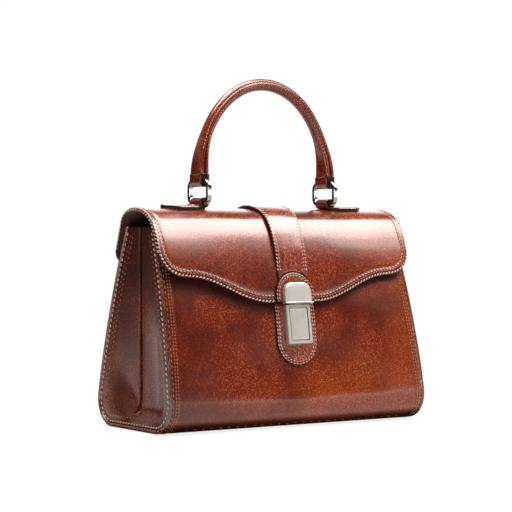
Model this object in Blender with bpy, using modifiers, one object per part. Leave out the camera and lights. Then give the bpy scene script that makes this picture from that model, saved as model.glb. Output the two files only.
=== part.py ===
"""Structured leather satchel: curved flap, press lock, and one handle hung on two rings.

Metres, +Z up. The front faces -Y, +X is the right-hand end seen from the front, and the
origin is the middle of the base, on the surface that the bag stands on.
"""
import math

import bmesh
import bpy
from mathutils import Matrix, Vector

# Gaps and cuts
CLEARANCE = 0.0003          # between two pieces that touch
CUT_OVERRUN = 0.002         # how far a cutter runs past what it cuts
PIVOT_CLEARANCE = 0.0003    # round a ring wire in its leather eye

# Body
BASE_LENGTH = 0.270         # along X, at the base
MOUTH_LENGTH = 0.255        # along X, at the mouth
BODY_DEPTH = 0.124          # front to back, just above the bottom corners
MOUTH_DEPTH = 0.0466        # front to back, at the mouth
MOUTH_HEIGHT = 0.174
CORNER_RADIUS = 0.025       # rolled front and back bottom edges
SIDE_BULGE = 0.004          # how far front and back bow out of a straight line
DIP_DEPTH = 0.004           # how far the empty front sags in at its middle
DIP_LENGTH = 0.230
DIP_HEIGHT = 0.112
BASE_SEAM = 0.003           # flat strip of front and back that turns under the base
CORNER_STEPS = 4
WALL_SHARES = (0.146, 0.290, 0.532, 0.700, 0.850, 1.0)
COLUMN_SHARES = (1.0, 0.72, 0.44, 0.17, -0.17, -0.44, -0.72, -1.0)

# Layers of the body wall, outside to inside
PANEL_THICKNESS = 0.0022
BOARD_THICKNESS = 0.0016
LINING_THICKNESS = 0.0008

# Seam bead along each end, and the gusset inside it
WELT_RADIUS = 0.00175
WELT_RESOLUTION = 2
GUSSET_THICKNESS = 0.0018
GUSSET_SET_BACK = 0.0013    # behind the outermost line of the bead
GUSSET_FLAT_EDGE = 0.004    # sewn margin that stays flat
GUSSET_FOLD_TOP = 0.0015    # how far the middle is drawn in, at the mouth
GUSSET_FOLD_BASE = 0.0075   # and low down
GUSSET_FOLD_START = 0.009   # height where the drawing in starts
GUSSET_FOLD_FULL = 0.032    # height where it is deepest
PLEAT_WIDTH = 0.0070        # pressed fold up the middle
PLEAT_DEPTH = 0.0030
PLEAT_BOTTOM = 0.015
PLEAT_SLOPE_WIDTH = 0.0014
GUSSET_COLUMN_SHARES = (1.0, 0.85, 0.45)

# Inside
POCKET_LENGTH = 0.150
POCKET_HEIGHT = 0.085
POCKET_BASE = 0.062         # height of its bottom seam
POCKET_THICKNESS = 0.0008
POCKET_STEPS = 4

# Flap
FLAP_LENGTH = 0.262
FLAP_THICKNESS = 0.0018
FLAP_LINING_THICKNESS = 0.0010
FLAP_STACK = FLAP_THICKNESS + CLEARANCE + FLAP_LINING_THICKNESS
FLAP_MOUTH_GAP = 0.0029     # between flap and front, at the mouth
FLAP_TIP_GAP = 0.0005       # and at the tip
FLAP_BOW = 0.0026           # how far its front bows out between them
FLAP_BOW_SKEW_SHARE = 0.7
CROWN_HEIGHT = 0.015        # top of the flap above the mouth
CROWN_BACK_SHARES = (0.05, 1.40)
CROWN_FRONT_SHARES = (0.30, 1.27)
FLAP_TIP_DROP = 0.066       # below the mouth, at the lock
FLAP_TIP_LENGTH = 0.050     # straight part of the edge at the lock
FLAP_WAVE_LENGTH = 0.080    # each side's S-curve, along X
FLAP_SIDE_DROP = 0.0435     # below the mouth, beyond the S-curve
FLAP_CORNER_RADIUS = 0.017
BAND_DROP = 0.033           # sewn band at the back, below the mouth
BAND_CORNER_RADIUS = 0.012
CROWN_STEPS = 8
FRONT_STEPS = 5
WAVE_STEPS = 5
ARC_STEPS = 3

# Strap over the middle of the flap
STRAP_WIDTH_TOP = 0.0357
STRAP_WIDTH_FRONT = 0.032
STRAP_THICKNESS = 0.0032
STRAP_END_THICKNESS = 0.0018
STRAP_FOLD_THICKNESS = 0.0012   # pared thin where it bends over the hinge
STRAP_FOLD_LENGTH = 0.014   # over which it gets its full thickness again
STRAP_HINGE_GAP = 0.0038    # left free so the strap can turn down behind the hinge
STRAP_START_SHARE = 0.06    # of the crown, from the hinge to where the strap starts
STRAP_NARROWING = (0.5, 1.5)    # places along the flap where it gets narrower
STRAP_THINNING = (0.5, 1.0)     # shares of the front over which it gets thinner
STRAP_EDGE_SHARES = ((0.86, 0.92), (1.0, 0.55))

# Leather tabs that carry the lock
TAB_THICKNESS = 0.0020
HASP_TAB_WIDTH = 0.0396
HASP_TAB_HEIGHT = 0.0252
LOCK_TAB_WIDTH = 0.0412
LOCK_TAB_BELOW_TIP = 0.0010 # upper end below the flap's tip
LOCK_TAB_LENGTH = 0.0535
TAB_ROWS = 6

# Lock on the front
LOCK_WIDTH = 0.0250
LOCK_HEIGHT = 0.0338
LOCK_DEPTH = 0.0054
LOCK_BELOW_TIP = 0.0030     # upper end below the flap's tip
LOCK_WALL = 0.0010
LOCK_FRONT_WALL = 0.0010
LOCK_FRAME_WIDTH = 0.0028   # rim round the press plate
LOCK_EDGE_BEVEL = 0.0007
PRESS_GAP = 0.0003
PRESS_RECESS = 0.0003       # press plate behind the rim's face
PRESS_FLANGE_WIDTH = 0.0010
PRESS_FLANGE_THICKNESS = 0.0008
PRESS_TRAVEL = 0.0012
CATCH_WIDTH = 0.010
CATCH_HEIGHT = 0.0048
CATCH_THICKNESS = 0.0008
SPRING_LENGTH = 0.0125
SPRING_WIDTH = 0.0045
SPRING_THICKNESS = 0.0003
SPRING_STEPS = 8
BASE_PLATE_THICKNESS = 0.0008
BACK_PLATE_THICKNESS = 0.0009
RIVET_RADIUS = 0.0009
RIVET_HEAD_RADIUS = 0.0015
RIVET_HEAD_THICKNESS = 0.0005
RIVET_INSET = 0.0042        # from the lock's outline to a rivet's centre
RIVET_SIDES = 10

# Hasp on the flap
HASP_WIDTH = 0.0273
HASP_HEIGHT = 0.0168
HASP_THICKNESS = 0.0039
HASP_CORNER_RADIUS = 0.0050
HASP_EDGE_BEVEL = 0.0013
LIP_WIDTH = 0.0305
LIP_HEIGHT = 0.0016
LIP_PROUD = 0.0008          # in front of the cap
LIP_BEVEL = 0.0005
LIP_GAP = 0.0006            # between lip and lock
TONGUE_WIDTH = 0.012
TONGUE_THICKNESS = 0.0009
TONGUE_REACH = 0.0019       # into the lock
TONGUE_SEAT = 0.0008        # into the lip
HASP_RIVET_SPACING = 0.014
HASP_RIVET_SEAT = 0.0015
HASP_PLATE_WIDTH = 0.021
HASP_PLATE_HEIGHT = 0.007

# Rings, upright, each in a plane across the bag
RING_SPACING = 0.1338       # between the two rings, along X
RING_DEPTH = 0.0307         # along Y, wire centre to wire centre
RING_HEIGHT = 0.0185        # along Z, wire centre to wire centre
RING_CORNER_RADIUS = 0.0060
RING_WIRE_RADIUS = 0.0023
RING_CORNER_STEPS = 4

# Leather tabs on the flap that hold the rings
CHAPE_LENGTH = 0.0390       # from the ring's centre to the tab's point
CHAPE_WIDTH = 0.0250
CHAPE_THICKNESS = 0.0034
CHAPE_POINT_LENGTH = 0.0090
CHAPE_NECK_LENGTH = 0.0070  # narrow part beside the ring
EYE_WALL = 0.0018
EYE_WIDTH = 0.0178
EYE_SIDES = 20
CHAPE_BEVEL = 0.0006

# Handle
HANDLE_RISE = 0.1250        # its centre line at the top, above the mouth
GRIP_RADIUS = 0.0053
GRIP_WALL = 0.0018
FOOT_WIDTH = 0.0176         # along Y, at the flattened feet
FOOT_THICKNESS = 0.0094     # along X
FOOT_GAP = 0.0045           # foot above the ring wire's centre
FOOT_FLARE_HEIGHT = 0.045   # over which the foot turns into the round grip
ARCH_TOP_SHARE = 0.61
ARCH_FOOT_SHARES = (1.016, 0.476)
GRIP_STEPS = 10
GRIP_SIDES = 10
LOOP_WALL = 0.0014
NECK_HEIGHT = 0.0125        # loop's neck above the ring wire's centre
NECK_FILL_SHARE = 0.56      # of the foot's inside, across and along
CORE_GAP = 0.0010           # between the neck and the core
CORE_CLEARANCE = 0.0008     # between the core and the grip's faceted inside

# Colours: base colour, roughness, metallic
LEATHER = ("cognac_leather", (0.30, 0.075, 0.022, 1.0), 0.28, 0.0)
EDGE_LEATHER = ("dark_leather", (0.10, 0.022, 0.010, 1.0), 0.35, 0.0)
SUEDE = ("lining_suede", (0.22, 0.10, 0.055, 1.0), 0.85, 0.0)
BOARD = ("salpa_board", (0.42, 0.30, 0.18, 1.0), 0.9, 0.0)
NICKEL = ("polished_nickel", (0.78, 0.76, 0.72, 1.0), 0.12, 1.0)
STEEL = ("plain_steel", (0.55, 0.55, 0.56, 1.0), 0.35, 1.0)
CORD = ("cotton_cord", (0.70, 0.64, 0.52, 1.0), 0.9, 0.0)

PARTS_COLLECTION = "satchel"
CUTTERS_COLLECTION = "satchel_cutters"
NORMAL_STEP_SHARE = 0.001
FLAP_END_STATION = 2.0


# Scene helpers

def clear_scene():
    for obj in list(bpy.data.objects):
        bpy.data.objects.remove(obj, do_unlink=True)


def collection(name):
    found = bpy.data.collections.get(name)
    if found is None:
        found = bpy.data.collections.new(name)
        bpy.context.scene.collection.children.link(found)
    return found


def material(finish):
    name, colour, roughness, metallic = finish
    found = bpy.data.materials.get(name)
    if found is None:
        found = bpy.data.materials.new(name)
        found.use_nodes = True
        shader = found.node_tree.nodes["Principled BSDF"]
        shader.inputs["Base Color"].default_value = colour
        shader.inputs["Roughness"].default_value = roughness
        shader.inputs["Metallic"].default_value = metallic
        found.diffuse_color = colour
    return found


def empty(name, location, tilt=0.0, parent=None):
    """Empty that carries a group of pieces, on the axis or face that places them."""
    obj = bpy.data.objects.new(name, None)
    obj.empty_display_size = GRIP_RADIUS
    collection(PARTS_COLLECTION).objects.link(obj)
    if parent:
        obj.parent = parent
        bpy.context.view_layer.update()
        location = parent.matrix_world.inverted() @ Vector(location)
    obj.location = location
    obj.rotation_euler = (tilt, 0.0, 0.0)
    bpy.context.view_layer.update()
    return obj


def place(obj, finish, parent=None, in_parent_frame=False):
    """Link a piece and hang it on its empty, leaving world coordinates where they are."""
    obj.data.materials.clear()
    obj.data.materials.append(material(finish))
    collection(PARTS_COLLECTION).objects.link(obj)
    if parent:
        obj.parent = parent
        if not in_parent_frame:
            obj.matrix_parent_inverse = parent.matrix_world.inverted()
    return obj


def place_cutter(obj, parent=None, in_parent_frame=False):
    collection(CUTTERS_COLLECTION).objects.link(obj)
    obj.hide_render = True
    obj.display_type = "WIRE"
    if parent:
        obj.parent = parent
        if not in_parent_frame:
            obj.matrix_parent_inverse = parent.matrix_world.inverted()
    return obj


def combine(obj, other, operation):
    modifier = obj.modifiers.new(operation.lower(), "BOOLEAN")
    modifier.operation = operation
    modifier.object = other
    modifier.solver = "EXACT"


def bevel(obj, width, segments=2, angle=0.6):
    modifier = obj.modifiers.new("rounded_edges", "BEVEL")
    modifier.width = width
    modifier.segments = segments
    modifier.limit_method = "ANGLE"
    modifier.angle_limit = angle
    modifier.use_clamp_overlap = True


def shade(mesh, angle=0.7):
    mesh.shade_smooth()
    mesh.set_sharp_from_angle(angle=angle)


def mix(a, b, share):
    return a + (b - a) * share


def smooth_share(value, low, high):
    """0 below low, 1 above high, with a soft turn at both."""
    share = min(max((value - low) / (high - low), 0.0), 1.0)
    return share * share * (3 - 2 * share)


# Shape helpers

def mesh_object(name, build):
    """New object whose mesh is filled by build(bm)."""
    mesh = bpy.data.meshes.new(name)
    bm = bmesh.new()
    build(bm)
    bmesh.ops.recalc_face_normals(bm, faces=bm.faces)
    bm.to_mesh(mesh)
    bm.free()
    return bpy.data.objects.new(name, mesh)


def sheet(name, rows, thickness):
    """Sheet of even thickness whose outer face runs through rows of points."""
    mesh = bpy.data.meshes.new(name)
    bm = bmesh.new()
    grid = [[bm.verts.new(point) for point in row] for row in rows]
    for low, high in zip(grid, grid[1:]):
        for a, b, c, d in zip(low, low[1:], high[1:], high):
            bm.faces.new((a, b, c, d))
    bm.to_mesh(mesh)
    bm.free()
    shade(mesh)
    obj = bpy.data.objects.new(name, mesh)
    solid = obj.modifiers.new("thickness", "SOLIDIFY")
    solid.thickness = thickness
    solid.offset = -1.0
    solid.use_even_offset = True
    return obj


def slab(name, outer, inner):
    """Closed solid between two grids of points of the same layout."""
    def build(bm):
        top = [[bm.verts.new(point) for point in row] for row in outer]
        under = [[bm.verts.new(point) for point in row] for row in inner]
        for grid in (top, under):
            for low, high in zip(grid, grid[1:]):
                for corners in zip(low, low[1:], high[1:], high):
                    bm.faces.new(corners)
        rims = ((top[0], under[0]), (top[-1], under[-1]),
                ([row[0] for row in top], [row[0] for row in under]),
                ([row[-1] for row in top], [row[-1] for row in under]))
        for upper, lower in rims:
            for corners in zip(upper, upper[1:], lower[1:], lower):
                bm.faces.new(corners)
    obj = mesh_object(name, build)
    shade(obj.data)
    return obj


def loft(name, rings):
    """Closed solid through rings of points, with flat ends."""
    def build(bm):
        loops = [[bm.verts.new(point) for point in ring] for ring in rings]
        for low, high in zip(loops, loops[1:]):
            turned = zip(low, low[1:] + low[:1], high[1:] + high[:1], high)
            for corners in turned:
                bm.faces.new(corners)
        bm.faces.new(loops[0][::-1])
        bm.faces.new(loops[-1])
    obj = mesh_object(name, build)
    shade(obj.data)
    return obj


def block(name, low, high):
    """Box between two corners."""
    size = Vector(high) - Vector(low)
    middle = (Vector(high) + Vector(low)) / 2

    def build(bm):
        bmesh.ops.create_cube(bm, size=1.0)
        bmesh.ops.scale(bm, vec=size, verts=bm.verts)
        bmesh.ops.translate(bm, vec=middle, verts=bm.verts)
    return mesh_object(name, build)


def rod(name, radius, start, end, sides, end_radius=None):
    """Round bar between two points."""
    start, end = Vector(start), Vector(end)
    turn = Vector((0.0, 0.0, 1.0)).rotation_difference(end - start).to_matrix().to_4x4()
    spin = Matrix.Rotation(math.pi / sides, 4, "Z")

    def build(bm):
        bmesh.ops.create_cone(bm, cap_ends=True, segments=sides, radius1=radius,
                              radius2=radius if end_radius is None else end_radius,
                              depth=(end - start).length,
                              matrix=Matrix.Translation((start + end) / 2) @ turn @ spin)
    obj = mesh_object(name, build)
    shade(obj.data)
    return obj


def tube(name, points, radius, resolution, cyclic=False):
    """Round wire or bead along points, as a mesh."""
    curve = bpy.data.curves.new(name, "CURVE")
    curve.dimensions = "3D"
    curve.bevel_depth = radius
    curve.bevel_resolution = resolution
    curve.use_fill_caps = not cyclic
    spline = curve.splines.new("POLY")
    spline.points.add(len(points) - 1)
    for target, point in zip(spline.points, points):
        target.co = (*point, 1.0)
    spline.use_cyclic_u = cyclic
    guide = bpy.data.objects.new(name + "_path", curve)
    collection(PARTS_COLLECTION).objects.link(guide)
    return mesh_from_curve(name, guide)


def outline_solid(name, points, low, high):
    """Flat outline in X and Y filled between two heights, as a mesh."""
    curve = bpy.data.curves.new(name, "CURVE")
    curve.dimensions = "2D"
    curve.fill_mode = "BOTH"
    curve.extrude = (high - low) / 2
    spline = curve.splines.new("POLY")
    spline.points.add(len(points) - 1)
    for target, point in zip(spline.points, points):
        target.co = (*point, 0.0, 1.0)
    spline.use_cyclic_u = True
    guide = bpy.data.objects.new(name + "_outline", curve)
    collection(PARTS_COLLECTION).objects.link(guide)
    obj = mesh_from_curve(name, guide)
    obj.data.transform(Matrix.Translation((0.0, 0.0, (high + low) / 2)))
    return obj


def mesh_from_curve(name, guide):
    bpy.context.view_layer.update()
    evaluated = guide.evaluated_get(bpy.context.evaluated_depsgraph_get())
    mesh = bpy.data.meshes.new_from_object(evaluated)
    mesh.name = name
    bpy.data.objects.remove(guide, do_unlink=True)
    bm = bmesh.new()
    bm.from_mesh(mesh)
    bmesh.ops.remove_doubles(bm, verts=bm.verts, dist=CLEARANCE / 10)
    bmesh.ops.recalc_face_normals(bm, faces=bm.faces)
    bm.to_mesh(mesh)
    bm.free()
    shade(mesh)
    return bpy.data.objects.new(name, mesh)


# Body wall: its outline seen from the end, and its length along X

def half_length(z):
    return mix(BASE_LENGTH, MOUTH_LENGTH, z / MOUTH_HEIGHT) / 2


def wall_lean():
    """Angle from upright where the side leaves the rolled bottom corner."""
    return math.atan2((BODY_DEPTH - MOUTH_DEPTH) / 2 - 4 * SIDE_BULGE,
                      MOUTH_HEIGHT - CORNER_RADIUS)


def shoulder_height():
    return CORNER_RADIUS * (1 + math.sin(wall_lean()))


def flat_half_depth():
    """Half of the flat base, from the middle to where a corner starts to roll up."""
    return BODY_DEPTH / 2 - CORNER_RADIUS * math.cos(wall_lean())


def wall_depth(z):
    """Half depth of the body at a height above the rolled corners."""
    share = (z - shoulder_height()) / (MOUTH_HEIGHT - shoulder_height())
    straight = mix(BODY_DEPTH, MOUTH_DEPTH, share) / 2
    return straight + 4 * SIDE_BULGE * share * (1 - share)


def wall_slope(z):
    """How much the half depth shrinks for each unit of height."""
    height = MOUTH_HEIGHT - shoulder_height()
    share = (z - shoulder_height()) / height
    return ((BODY_DEPTH - MOUTH_DEPTH) / 2 - 4 * SIDE_BULGE * (1 - 2 * share)) / height


def wall_heights():
    return [mix(shoulder_height(), MOUTH_HEIGHT, share) for share in WALL_SHARES]


def body_section(inset):
    """Half outline (y, z) from the flat base up to the mouth, moved inward by inset."""
    points = [(flat_half_depth() - BASE_SEAM, inset)]
    for i in range(CORNER_STEPS + 1):
        angle = mix(-math.pi / 2, wall_lean(), i / CORNER_STEPS)
        radius = CORNER_RADIUS - inset
        points.append((flat_half_depth() + radius * math.cos(angle),
                       CORNER_RADIUS + radius * math.sin(angle)))
    for z in wall_heights():
        slope = wall_slope(z)
        run = math.hypot(1, slope)
        points.append((wall_depth(z) - inset / run, z - inset * slope / run))
    return points


def front_dip(x, z):
    """How far the front wall is drawn in at a point."""
    if not 0 < z < DIP_HEIGHT or abs(x) > DIP_LENGTH / 2:
        return 0.0
    across = math.cos(math.pi * x / DIP_LENGTH)
    up = math.sin(math.pi * z / DIP_HEIGHT)
    return DIP_DEPTH * across ** 2 * up ** 2


def facet(value, stops):
    """The two neighbouring stops that a value lies between."""
    for low, high in zip(stops, stops[1:]):
        if value <= high:
            return low, high
    return stops[-2], stops[-1]


def front_point(x, z, outset):
    """Point in front of the flat facets of the front wall, above the rolled corner."""
    low, high = facet(z, [shoulder_height()] + wall_heights())
    depths = []
    for height in (low, high):
        reach = half_length(height) - panel_end_margin()
        left, right = facet(x, [share * reach for share in COLUMN_SHARES[::-1]])
        dip = mix(front_dip(left, height), front_dip(right, height),
                  (x - left) / (right - left))
        depths.append(wall_depth(height) - dip)
    slope = (depths[0] - depths[1]) / (high - low)
    depth = mix(depths[0], depths[1], (z - low) / (high - low))
    return Vector((x, -(depth + outset * math.hypot(1, slope)), z))


def even_columns(half, count):
    return [mix(-half, half, i / count) for i in range(count + 1)]


def panel_end_margin():
    return 2 * WELT_RADIUS + CLEARANCE


def inner_end_margin():
    """From the body's end to the inner face of the gusset, with its clearance."""
    return GUSSET_SET_BACK + GUSSET_THICKNESS + CLEARANCE


def wall_rows(section, columns, margin, side, dipped):
    """Rows of points along the body's length, one row for each point of a section."""
    rows = []
    for y, z in section:
        reach = half_length(z) - margin
        row = []
        for share in columns:
            x = share * reach
            dip = front_dip(x, z) if dipped else 0.0
            row.append((x, side * (y - dip), z))
        rows.append(row)
    return rows


def front_panel():
    columns = COLUMN_SHARES[::-1]
    rows = wall_rows(body_section(0.0), columns, panel_end_margin(), -1, True)
    return place(sheet("front_panel", rows, PANEL_THICKNESS), LEATHER)


def back_panel():
    rows = wall_rows(body_section(0.0), (1, -1), panel_end_margin(), 1, False)
    return place(sheet("back_panel", rows, PANEL_THICKNESS), LEATHER)


def base_panel():
    half_x = half_length(PANEL_THICKNESS) - panel_end_margin()
    half_y = flat_half_depth() - BASE_SEAM - CLEARANCE
    low = (-half_x, -half_y, 0.0)
    high = (half_x, half_y, PANEL_THICKNESS)
    return place(block("base_panel", low, high), LEATHER)


def wrapped_layer(name, inset, thickness, finish):
    """Layer that runs down the front, under the base and up the back in one piece."""
    half = body_section(inset)
    front = wall_rows(half[::-1], COLUMN_SHARES, inner_end_margin(), -1, True)
    back = wall_rows(half, COLUMN_SHARES, inner_end_margin(), 1, False)
    return place(sheet(name, front + back, thickness), finish)


def board_inset():
    return PANEL_THICKNESS + CLEARANCE


def lining_inset():
    return board_inset() + BOARD_THICKNESS + CLEARANCE


def wall_stack():
    """Whole thickness of the body wall."""
    return lining_inset() + LINING_THICKNESS


def welt(side, name):
    """Bead along the seam at one end: front mouth, base and back mouth."""
    half = body_section(WELT_RADIUS)
    path = [(-y, z) for y, z in half[::-1]] + half
    points = [(side * (half_length(z) - WELT_RADIUS), y, z) for y, z in path]
    return place(tube(name, points, WELT_RADIUS, WELT_RESOLUTION), EDGE_LEATHER)


# Gussets with their pressed pleat

def gusset_inset():
    return 2 * WELT_RADIUS + CLEARANCE


def gusset_draw(y, z, edge, spread):
    """How far the gusset is drawn in at a point, edge being its half depth there.

    A layer behind it is spread round the pleat by its own distance from the face."""
    span = max(edge - GUSSET_FLAT_EDGE, CLEARANCE)
    middle = 1 - min(abs(y) / span, 1.0)
    full = GUSSET_FOLD_FULL
    upward = max((z - full) / (MOUTH_HEIGHT - full), 0.0)
    depth = mix(GUSSET_FOLD_BASE, GUSSET_FOLD_TOP, upward)
    fold = depth * middle * smooth_share(z, GUSSET_FOLD_START, full)
    half = PLEAT_WIDTH / 2 + spread
    bottom = PLEAT_BOTTOM - spread
    across = 1 - smooth_share(abs(y), half - PLEAT_SLOPE_WIDTH, half)
    along = smooth_share(z, bottom - PLEAT_SLOPE_WIDTH, bottom)
    return fold + PLEAT_DEPTH * across * along


def gusset_stations(inset, bottom):
    """Section points, with two more that give the pleat its closed lower end."""
    points = body_section(inset)[1:]
    for height in (bottom - PLEAT_SLOPE_WIDTH, bottom):
        for i in range(len(points) - 1):
            (y0, z0), (y1, z1) = points[i], points[i + 1]
            if z0 < height < z1:
                points.insert(i + 1, (mix(y0, y1, (height - z0) / (z1 - z0)), height))
                break
    return points


def gusset_rows(side, inset, set_back):
    spread = set_back - GUSSET_SET_BACK
    half = PLEAT_WIDTH / 2 + spread
    rows = []
    for edge, z in gusset_stations(inset, PLEAT_BOTTOM - spread):
        outer = [edge * share for share in GUSSET_COLUMN_SHARES]
        ys = outer + [half, half - PLEAT_SLOPE_WIDTH, 0.0]
        ys = ys + [-y for y in ys[-2::-1]]
        if side > 0:
            ys = ys[::-1]
        x = half_length(z) - set_back
        span = edge + inset - gusset_inset()
        rows.append([(side * (x - gusset_draw(y, z, span, spread)), y, z) for y in ys])
    return rows


def gusset(side, name):
    rows = gusset_rows(side, gusset_inset(), GUSSET_SET_BACK)
    return place(sheet(name, rows, GUSSET_THICKNESS), LEATHER)


def gusset_lining(side, name):
    rows = gusset_rows(side, wall_stack() + CLEARANCE, inner_end_margin())
    return place(sheet(name, rows, LINING_THICKNESS), SUEDE)


def inner_pocket():
    """Flat slip pocket sewn on the lining of the back."""
    rows = []
    for i in range(POCKET_STEPS + 1):
        z = POCKET_BASE + POCKET_HEIGHT * i / POCKET_STEPS
        reach = (wall_stack() + CLEARANCE) * math.hypot(1, wall_slope(z))
        y = wall_depth(z) - reach
        rows.append([(POCKET_LENGTH / 2, y, z), (-POCKET_LENGTH / 2, y, z)])
    return place(sheet("inner_pocket", rows, POCKET_THICKNESS), SUEDE)


# Flap: its outline seen from the end, back hinge line over the crown and down the front

def flap_tip_height():
    return MOUTH_HEIGHT - FLAP_TIP_DROP


def hinge_point():
    """Outer face of the flap where it leaves the sewn band, as (y, z)."""
    return Vector((MOUTH_DEPTH / 2 + CLEARANCE + FLAP_STACK, MOUTH_HEIGHT))


def flap_front_line(drop):
    """Outer face (y, z) of the flap at a depth below the mouth."""
    share = drop / FLAP_TIP_DROP
    gap = mix(FLAP_MOUTH_GAP, FLAP_TIP_GAP, share)
    gap += FLAP_BOW * math.sin(math.pi * min(share, 1.0) ** FLAP_BOW_SKEW_SHARE)
    z = MOUTH_HEIGHT - drop
    return Vector((-(wall_depth(z) + FLAP_STACK + gap), z))


def crown_line(share):
    """Outer face (y, z) over the mouth, a cubic curve from the hinge to the front."""
    back, front = hinge_point(), flap_front_line(0.0)
    half = (back.x - front.x) / 2
    back_lift = Vector((-CROWN_BACK_SHARES[0] * half, CROWN_BACK_SHARES[1] * CROWN_HEIGHT))
    front_lift = Vector((CROWN_FRONT_SHARES[0] * half, CROWN_FRONT_SHARES[1] * CROWN_HEIGHT))
    rest = 1 - share
    return (back * rest ** 3 + (back + back_lift) * 3 * rest ** 2 * share
            + (front + front_lift) * 3 * rest * share ** 2 + front * share ** 3)


def flap_line(station, reach):
    """Station 0 to 1 runs over the crown, 1 to 2 down the front by reach."""
    if station <= 1:
        return crown_line(station)
    return flap_front_line((station - 1) * reach)


def flap_point(x, station, reach, outset):
    """Point on the flap, outset in front of its outer face."""
    here = flap_line(station, reach)
    ahead = flap_line(min(station + NORMAL_STEP_SHARE, FLAP_END_STATION), reach)
    behind = flap_line(max(station - NORMAL_STEP_SHARE, 0.0), reach)
    run = (ahead - behind).normalized()
    here = here + Vector((run.y, -run.x)) * outset
    return Vector((x, here.x, here.y))


def crown_top():
    return max(crown_line(i / 100).y for i in range(101))


def flap_edge_drop(x):
    """Depth of the flap's lower edge below the mouth, an S-curve to each side."""
    x = abs(x)
    corner_start = FLAP_LENGTH / 2 - FLAP_CORNER_RADIUS
    if x > corner_start:
        rest = max(FLAP_CORNER_RADIUS ** 2 - (x - corner_start) ** 2, 0.0)
        return FLAP_SIDE_DROP - FLAP_CORNER_RADIUS + math.sqrt(rest)
    share = min(max((x - FLAP_TIP_LENGTH / 2) / FLAP_WAVE_LENGTH, 0.0), 1.0)
    return mix(FLAP_TIP_DROP, FLAP_SIDE_DROP, (1 - math.cos(math.pi * share)) / 2)


def flap_columns():
    """Places along X, closer together at the rounded corners, right to left."""
    corner_start = FLAP_LENGTH / 2 - FLAP_CORNER_RADIUS
    half = [0.0, FLAP_TIP_LENGTH / 4]
    wave_start = FLAP_TIP_LENGTH / 2
    half += [wave_start + FLAP_WAVE_LENGTH * i / WAVE_STEPS for i in range(WAVE_STEPS + 1)]
    half = [x for x in half if x < corner_start - CLEARANCE]
    for i in range(ARC_STEPS + 1):
        half.append(corner_start + FLAP_CORNER_RADIUS * math.sin(math.pi / 2 * i / ARC_STEPS))
    return half[::-1] + [-x for x in half[1:]]


def flap_rows(outset, crown_steps, front_steps):
    stations = [i / crown_steps for i in range(crown_steps)]
    stations += [1 + i / front_steps for i in range(front_steps + 1)]
    columns = flap_columns()
    return [[flap_point(x, s, flap_edge_drop(x), outset) for x in columns] for s in stations]


def flap(pivot):
    rows = flap_rows(0.0, CROWN_STEPS, FRONT_STEPS)
    return place(sheet("flap", rows, FLAP_THICKNESS), LEATHER, pivot)


def flap_lining(pivot):
    rows = flap_rows(-(FLAP_THICKNESS + CLEARANCE), CROWN_STEPS, FRONT_STEPS)
    return place(sheet("flap_lining", rows, FLAP_LINING_THICKNESS), SUEDE, pivot)


def band_point(x, z, outset):
    """Point behind the back wall's outer face."""
    return (x, wall_depth(z) + outset * math.hypot(1, wall_slope(z)), z)


def flap_back():
    """Band of the flap that is sewn to the outside of the back."""
    corner_start = FLAP_LENGTH / 2 - BAND_CORNER_RADIUS
    half = [0.0, corner_start / 2]
    for i in range(ARC_STEPS + 1):
        half.append(corner_start + BAND_CORNER_RADIUS * math.sin(math.pi / 2 * i / ARC_STEPS))
    columns = half[::-1] + [-x for x in half[1:]]
    rows = []
    for i in range(FRONT_STEPS + 1):
        row = []
        for x in columns:
            over = max(abs(x) - corner_start, 0.0)
            lift = BAND_CORNER_RADIUS - math.sqrt(max(BAND_CORNER_RADIUS ** 2 - over ** 2, 0))
            bottom = MOUTH_HEIGHT - BAND_DROP + lift
            z = mix(bottom, MOUTH_HEIGHT - CLEARANCE, i / FRONT_STEPS)
            row.append(band_point(x, z, CLEARANCE + FLAP_STACK))
        rows.append(row)
    return place(sheet("flap_back", rows, FLAP_STACK), LEATHER)


# Strap over the middle of the flap

def tab_arc(x, width):
    """Height lost at x below the top of a tab with a round end as wide as itself."""
    radius = width / 2
    return radius - math.sqrt(max(radius ** 2 - x ** 2, 0.0))


def strap_reach(x):
    """Depth below the mouth where the strap meets the hasp's tab."""
    return FLAP_TIP_DROP - HASP_TAB_HEIGHT + tab_arc(x, HASP_TAB_WIDTH) - CLEARANCE


def strap_section():
    """Points across the strap: shares of its half width and of its thickness there."""
    inner = HASP_TAB_WIDTH / STRAP_WIDTH_FRONT * math.sin(math.pi / 2 / ARC_STEPS)
    half = ((inner, 1.0),) + STRAP_EDGE_SHARES
    return half[::-1] + ((0.0, 1.0),) + tuple((-across, up) for across, up in half)


def strap_thickness(from_hinge):
    """Thickness at a distance from the hinge line, pared thin at the bend."""
    return mix(STRAP_FOLD_THICKNESS, STRAP_THICKNESS, smooth_share(from_hinge, 0.0, STRAP_FOLD_LENGTH))


def centre_strap(pivot):
    outer, inner = [], []
    crown = [i / CROWN_STEPS for i in range(CROWN_STEPS)]
    stations = [STRAP_START_SHARE] + [share for share in crown if share > STRAP_START_SHARE]
    stations += [1 + i / FRONT_STEPS for i in range(FRONT_STEPS + 1)]
    for station in stations:
        down = max(station - 1, 0.0)
        narrowing = smooth_share(station, *STRAP_NARROWING)
        half = mix(STRAP_WIDTH_TOP, STRAP_WIDTH_FRONT, narrowing) / 2
        above = flap_line(station, FLAP_TIP_DROP) - hinge_point()
        thick = strap_thickness(above.length)
        thick = mix(thick, STRAP_END_THICKNESS, smooth_share(down, *STRAP_THINNING))
        places = [(across * half, up * thick) for across, up in strap_section()]
        outer.append([flap_point(x, station, strap_reach(x), CLEARANCE + up) for x, up in places])
        inner.append([flap_point(x, station, strap_reach(x), CLEARANCE) for x, up in places])
    return place(slab("centre_strap", outer, inner), LEATHER, pivot)


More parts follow.
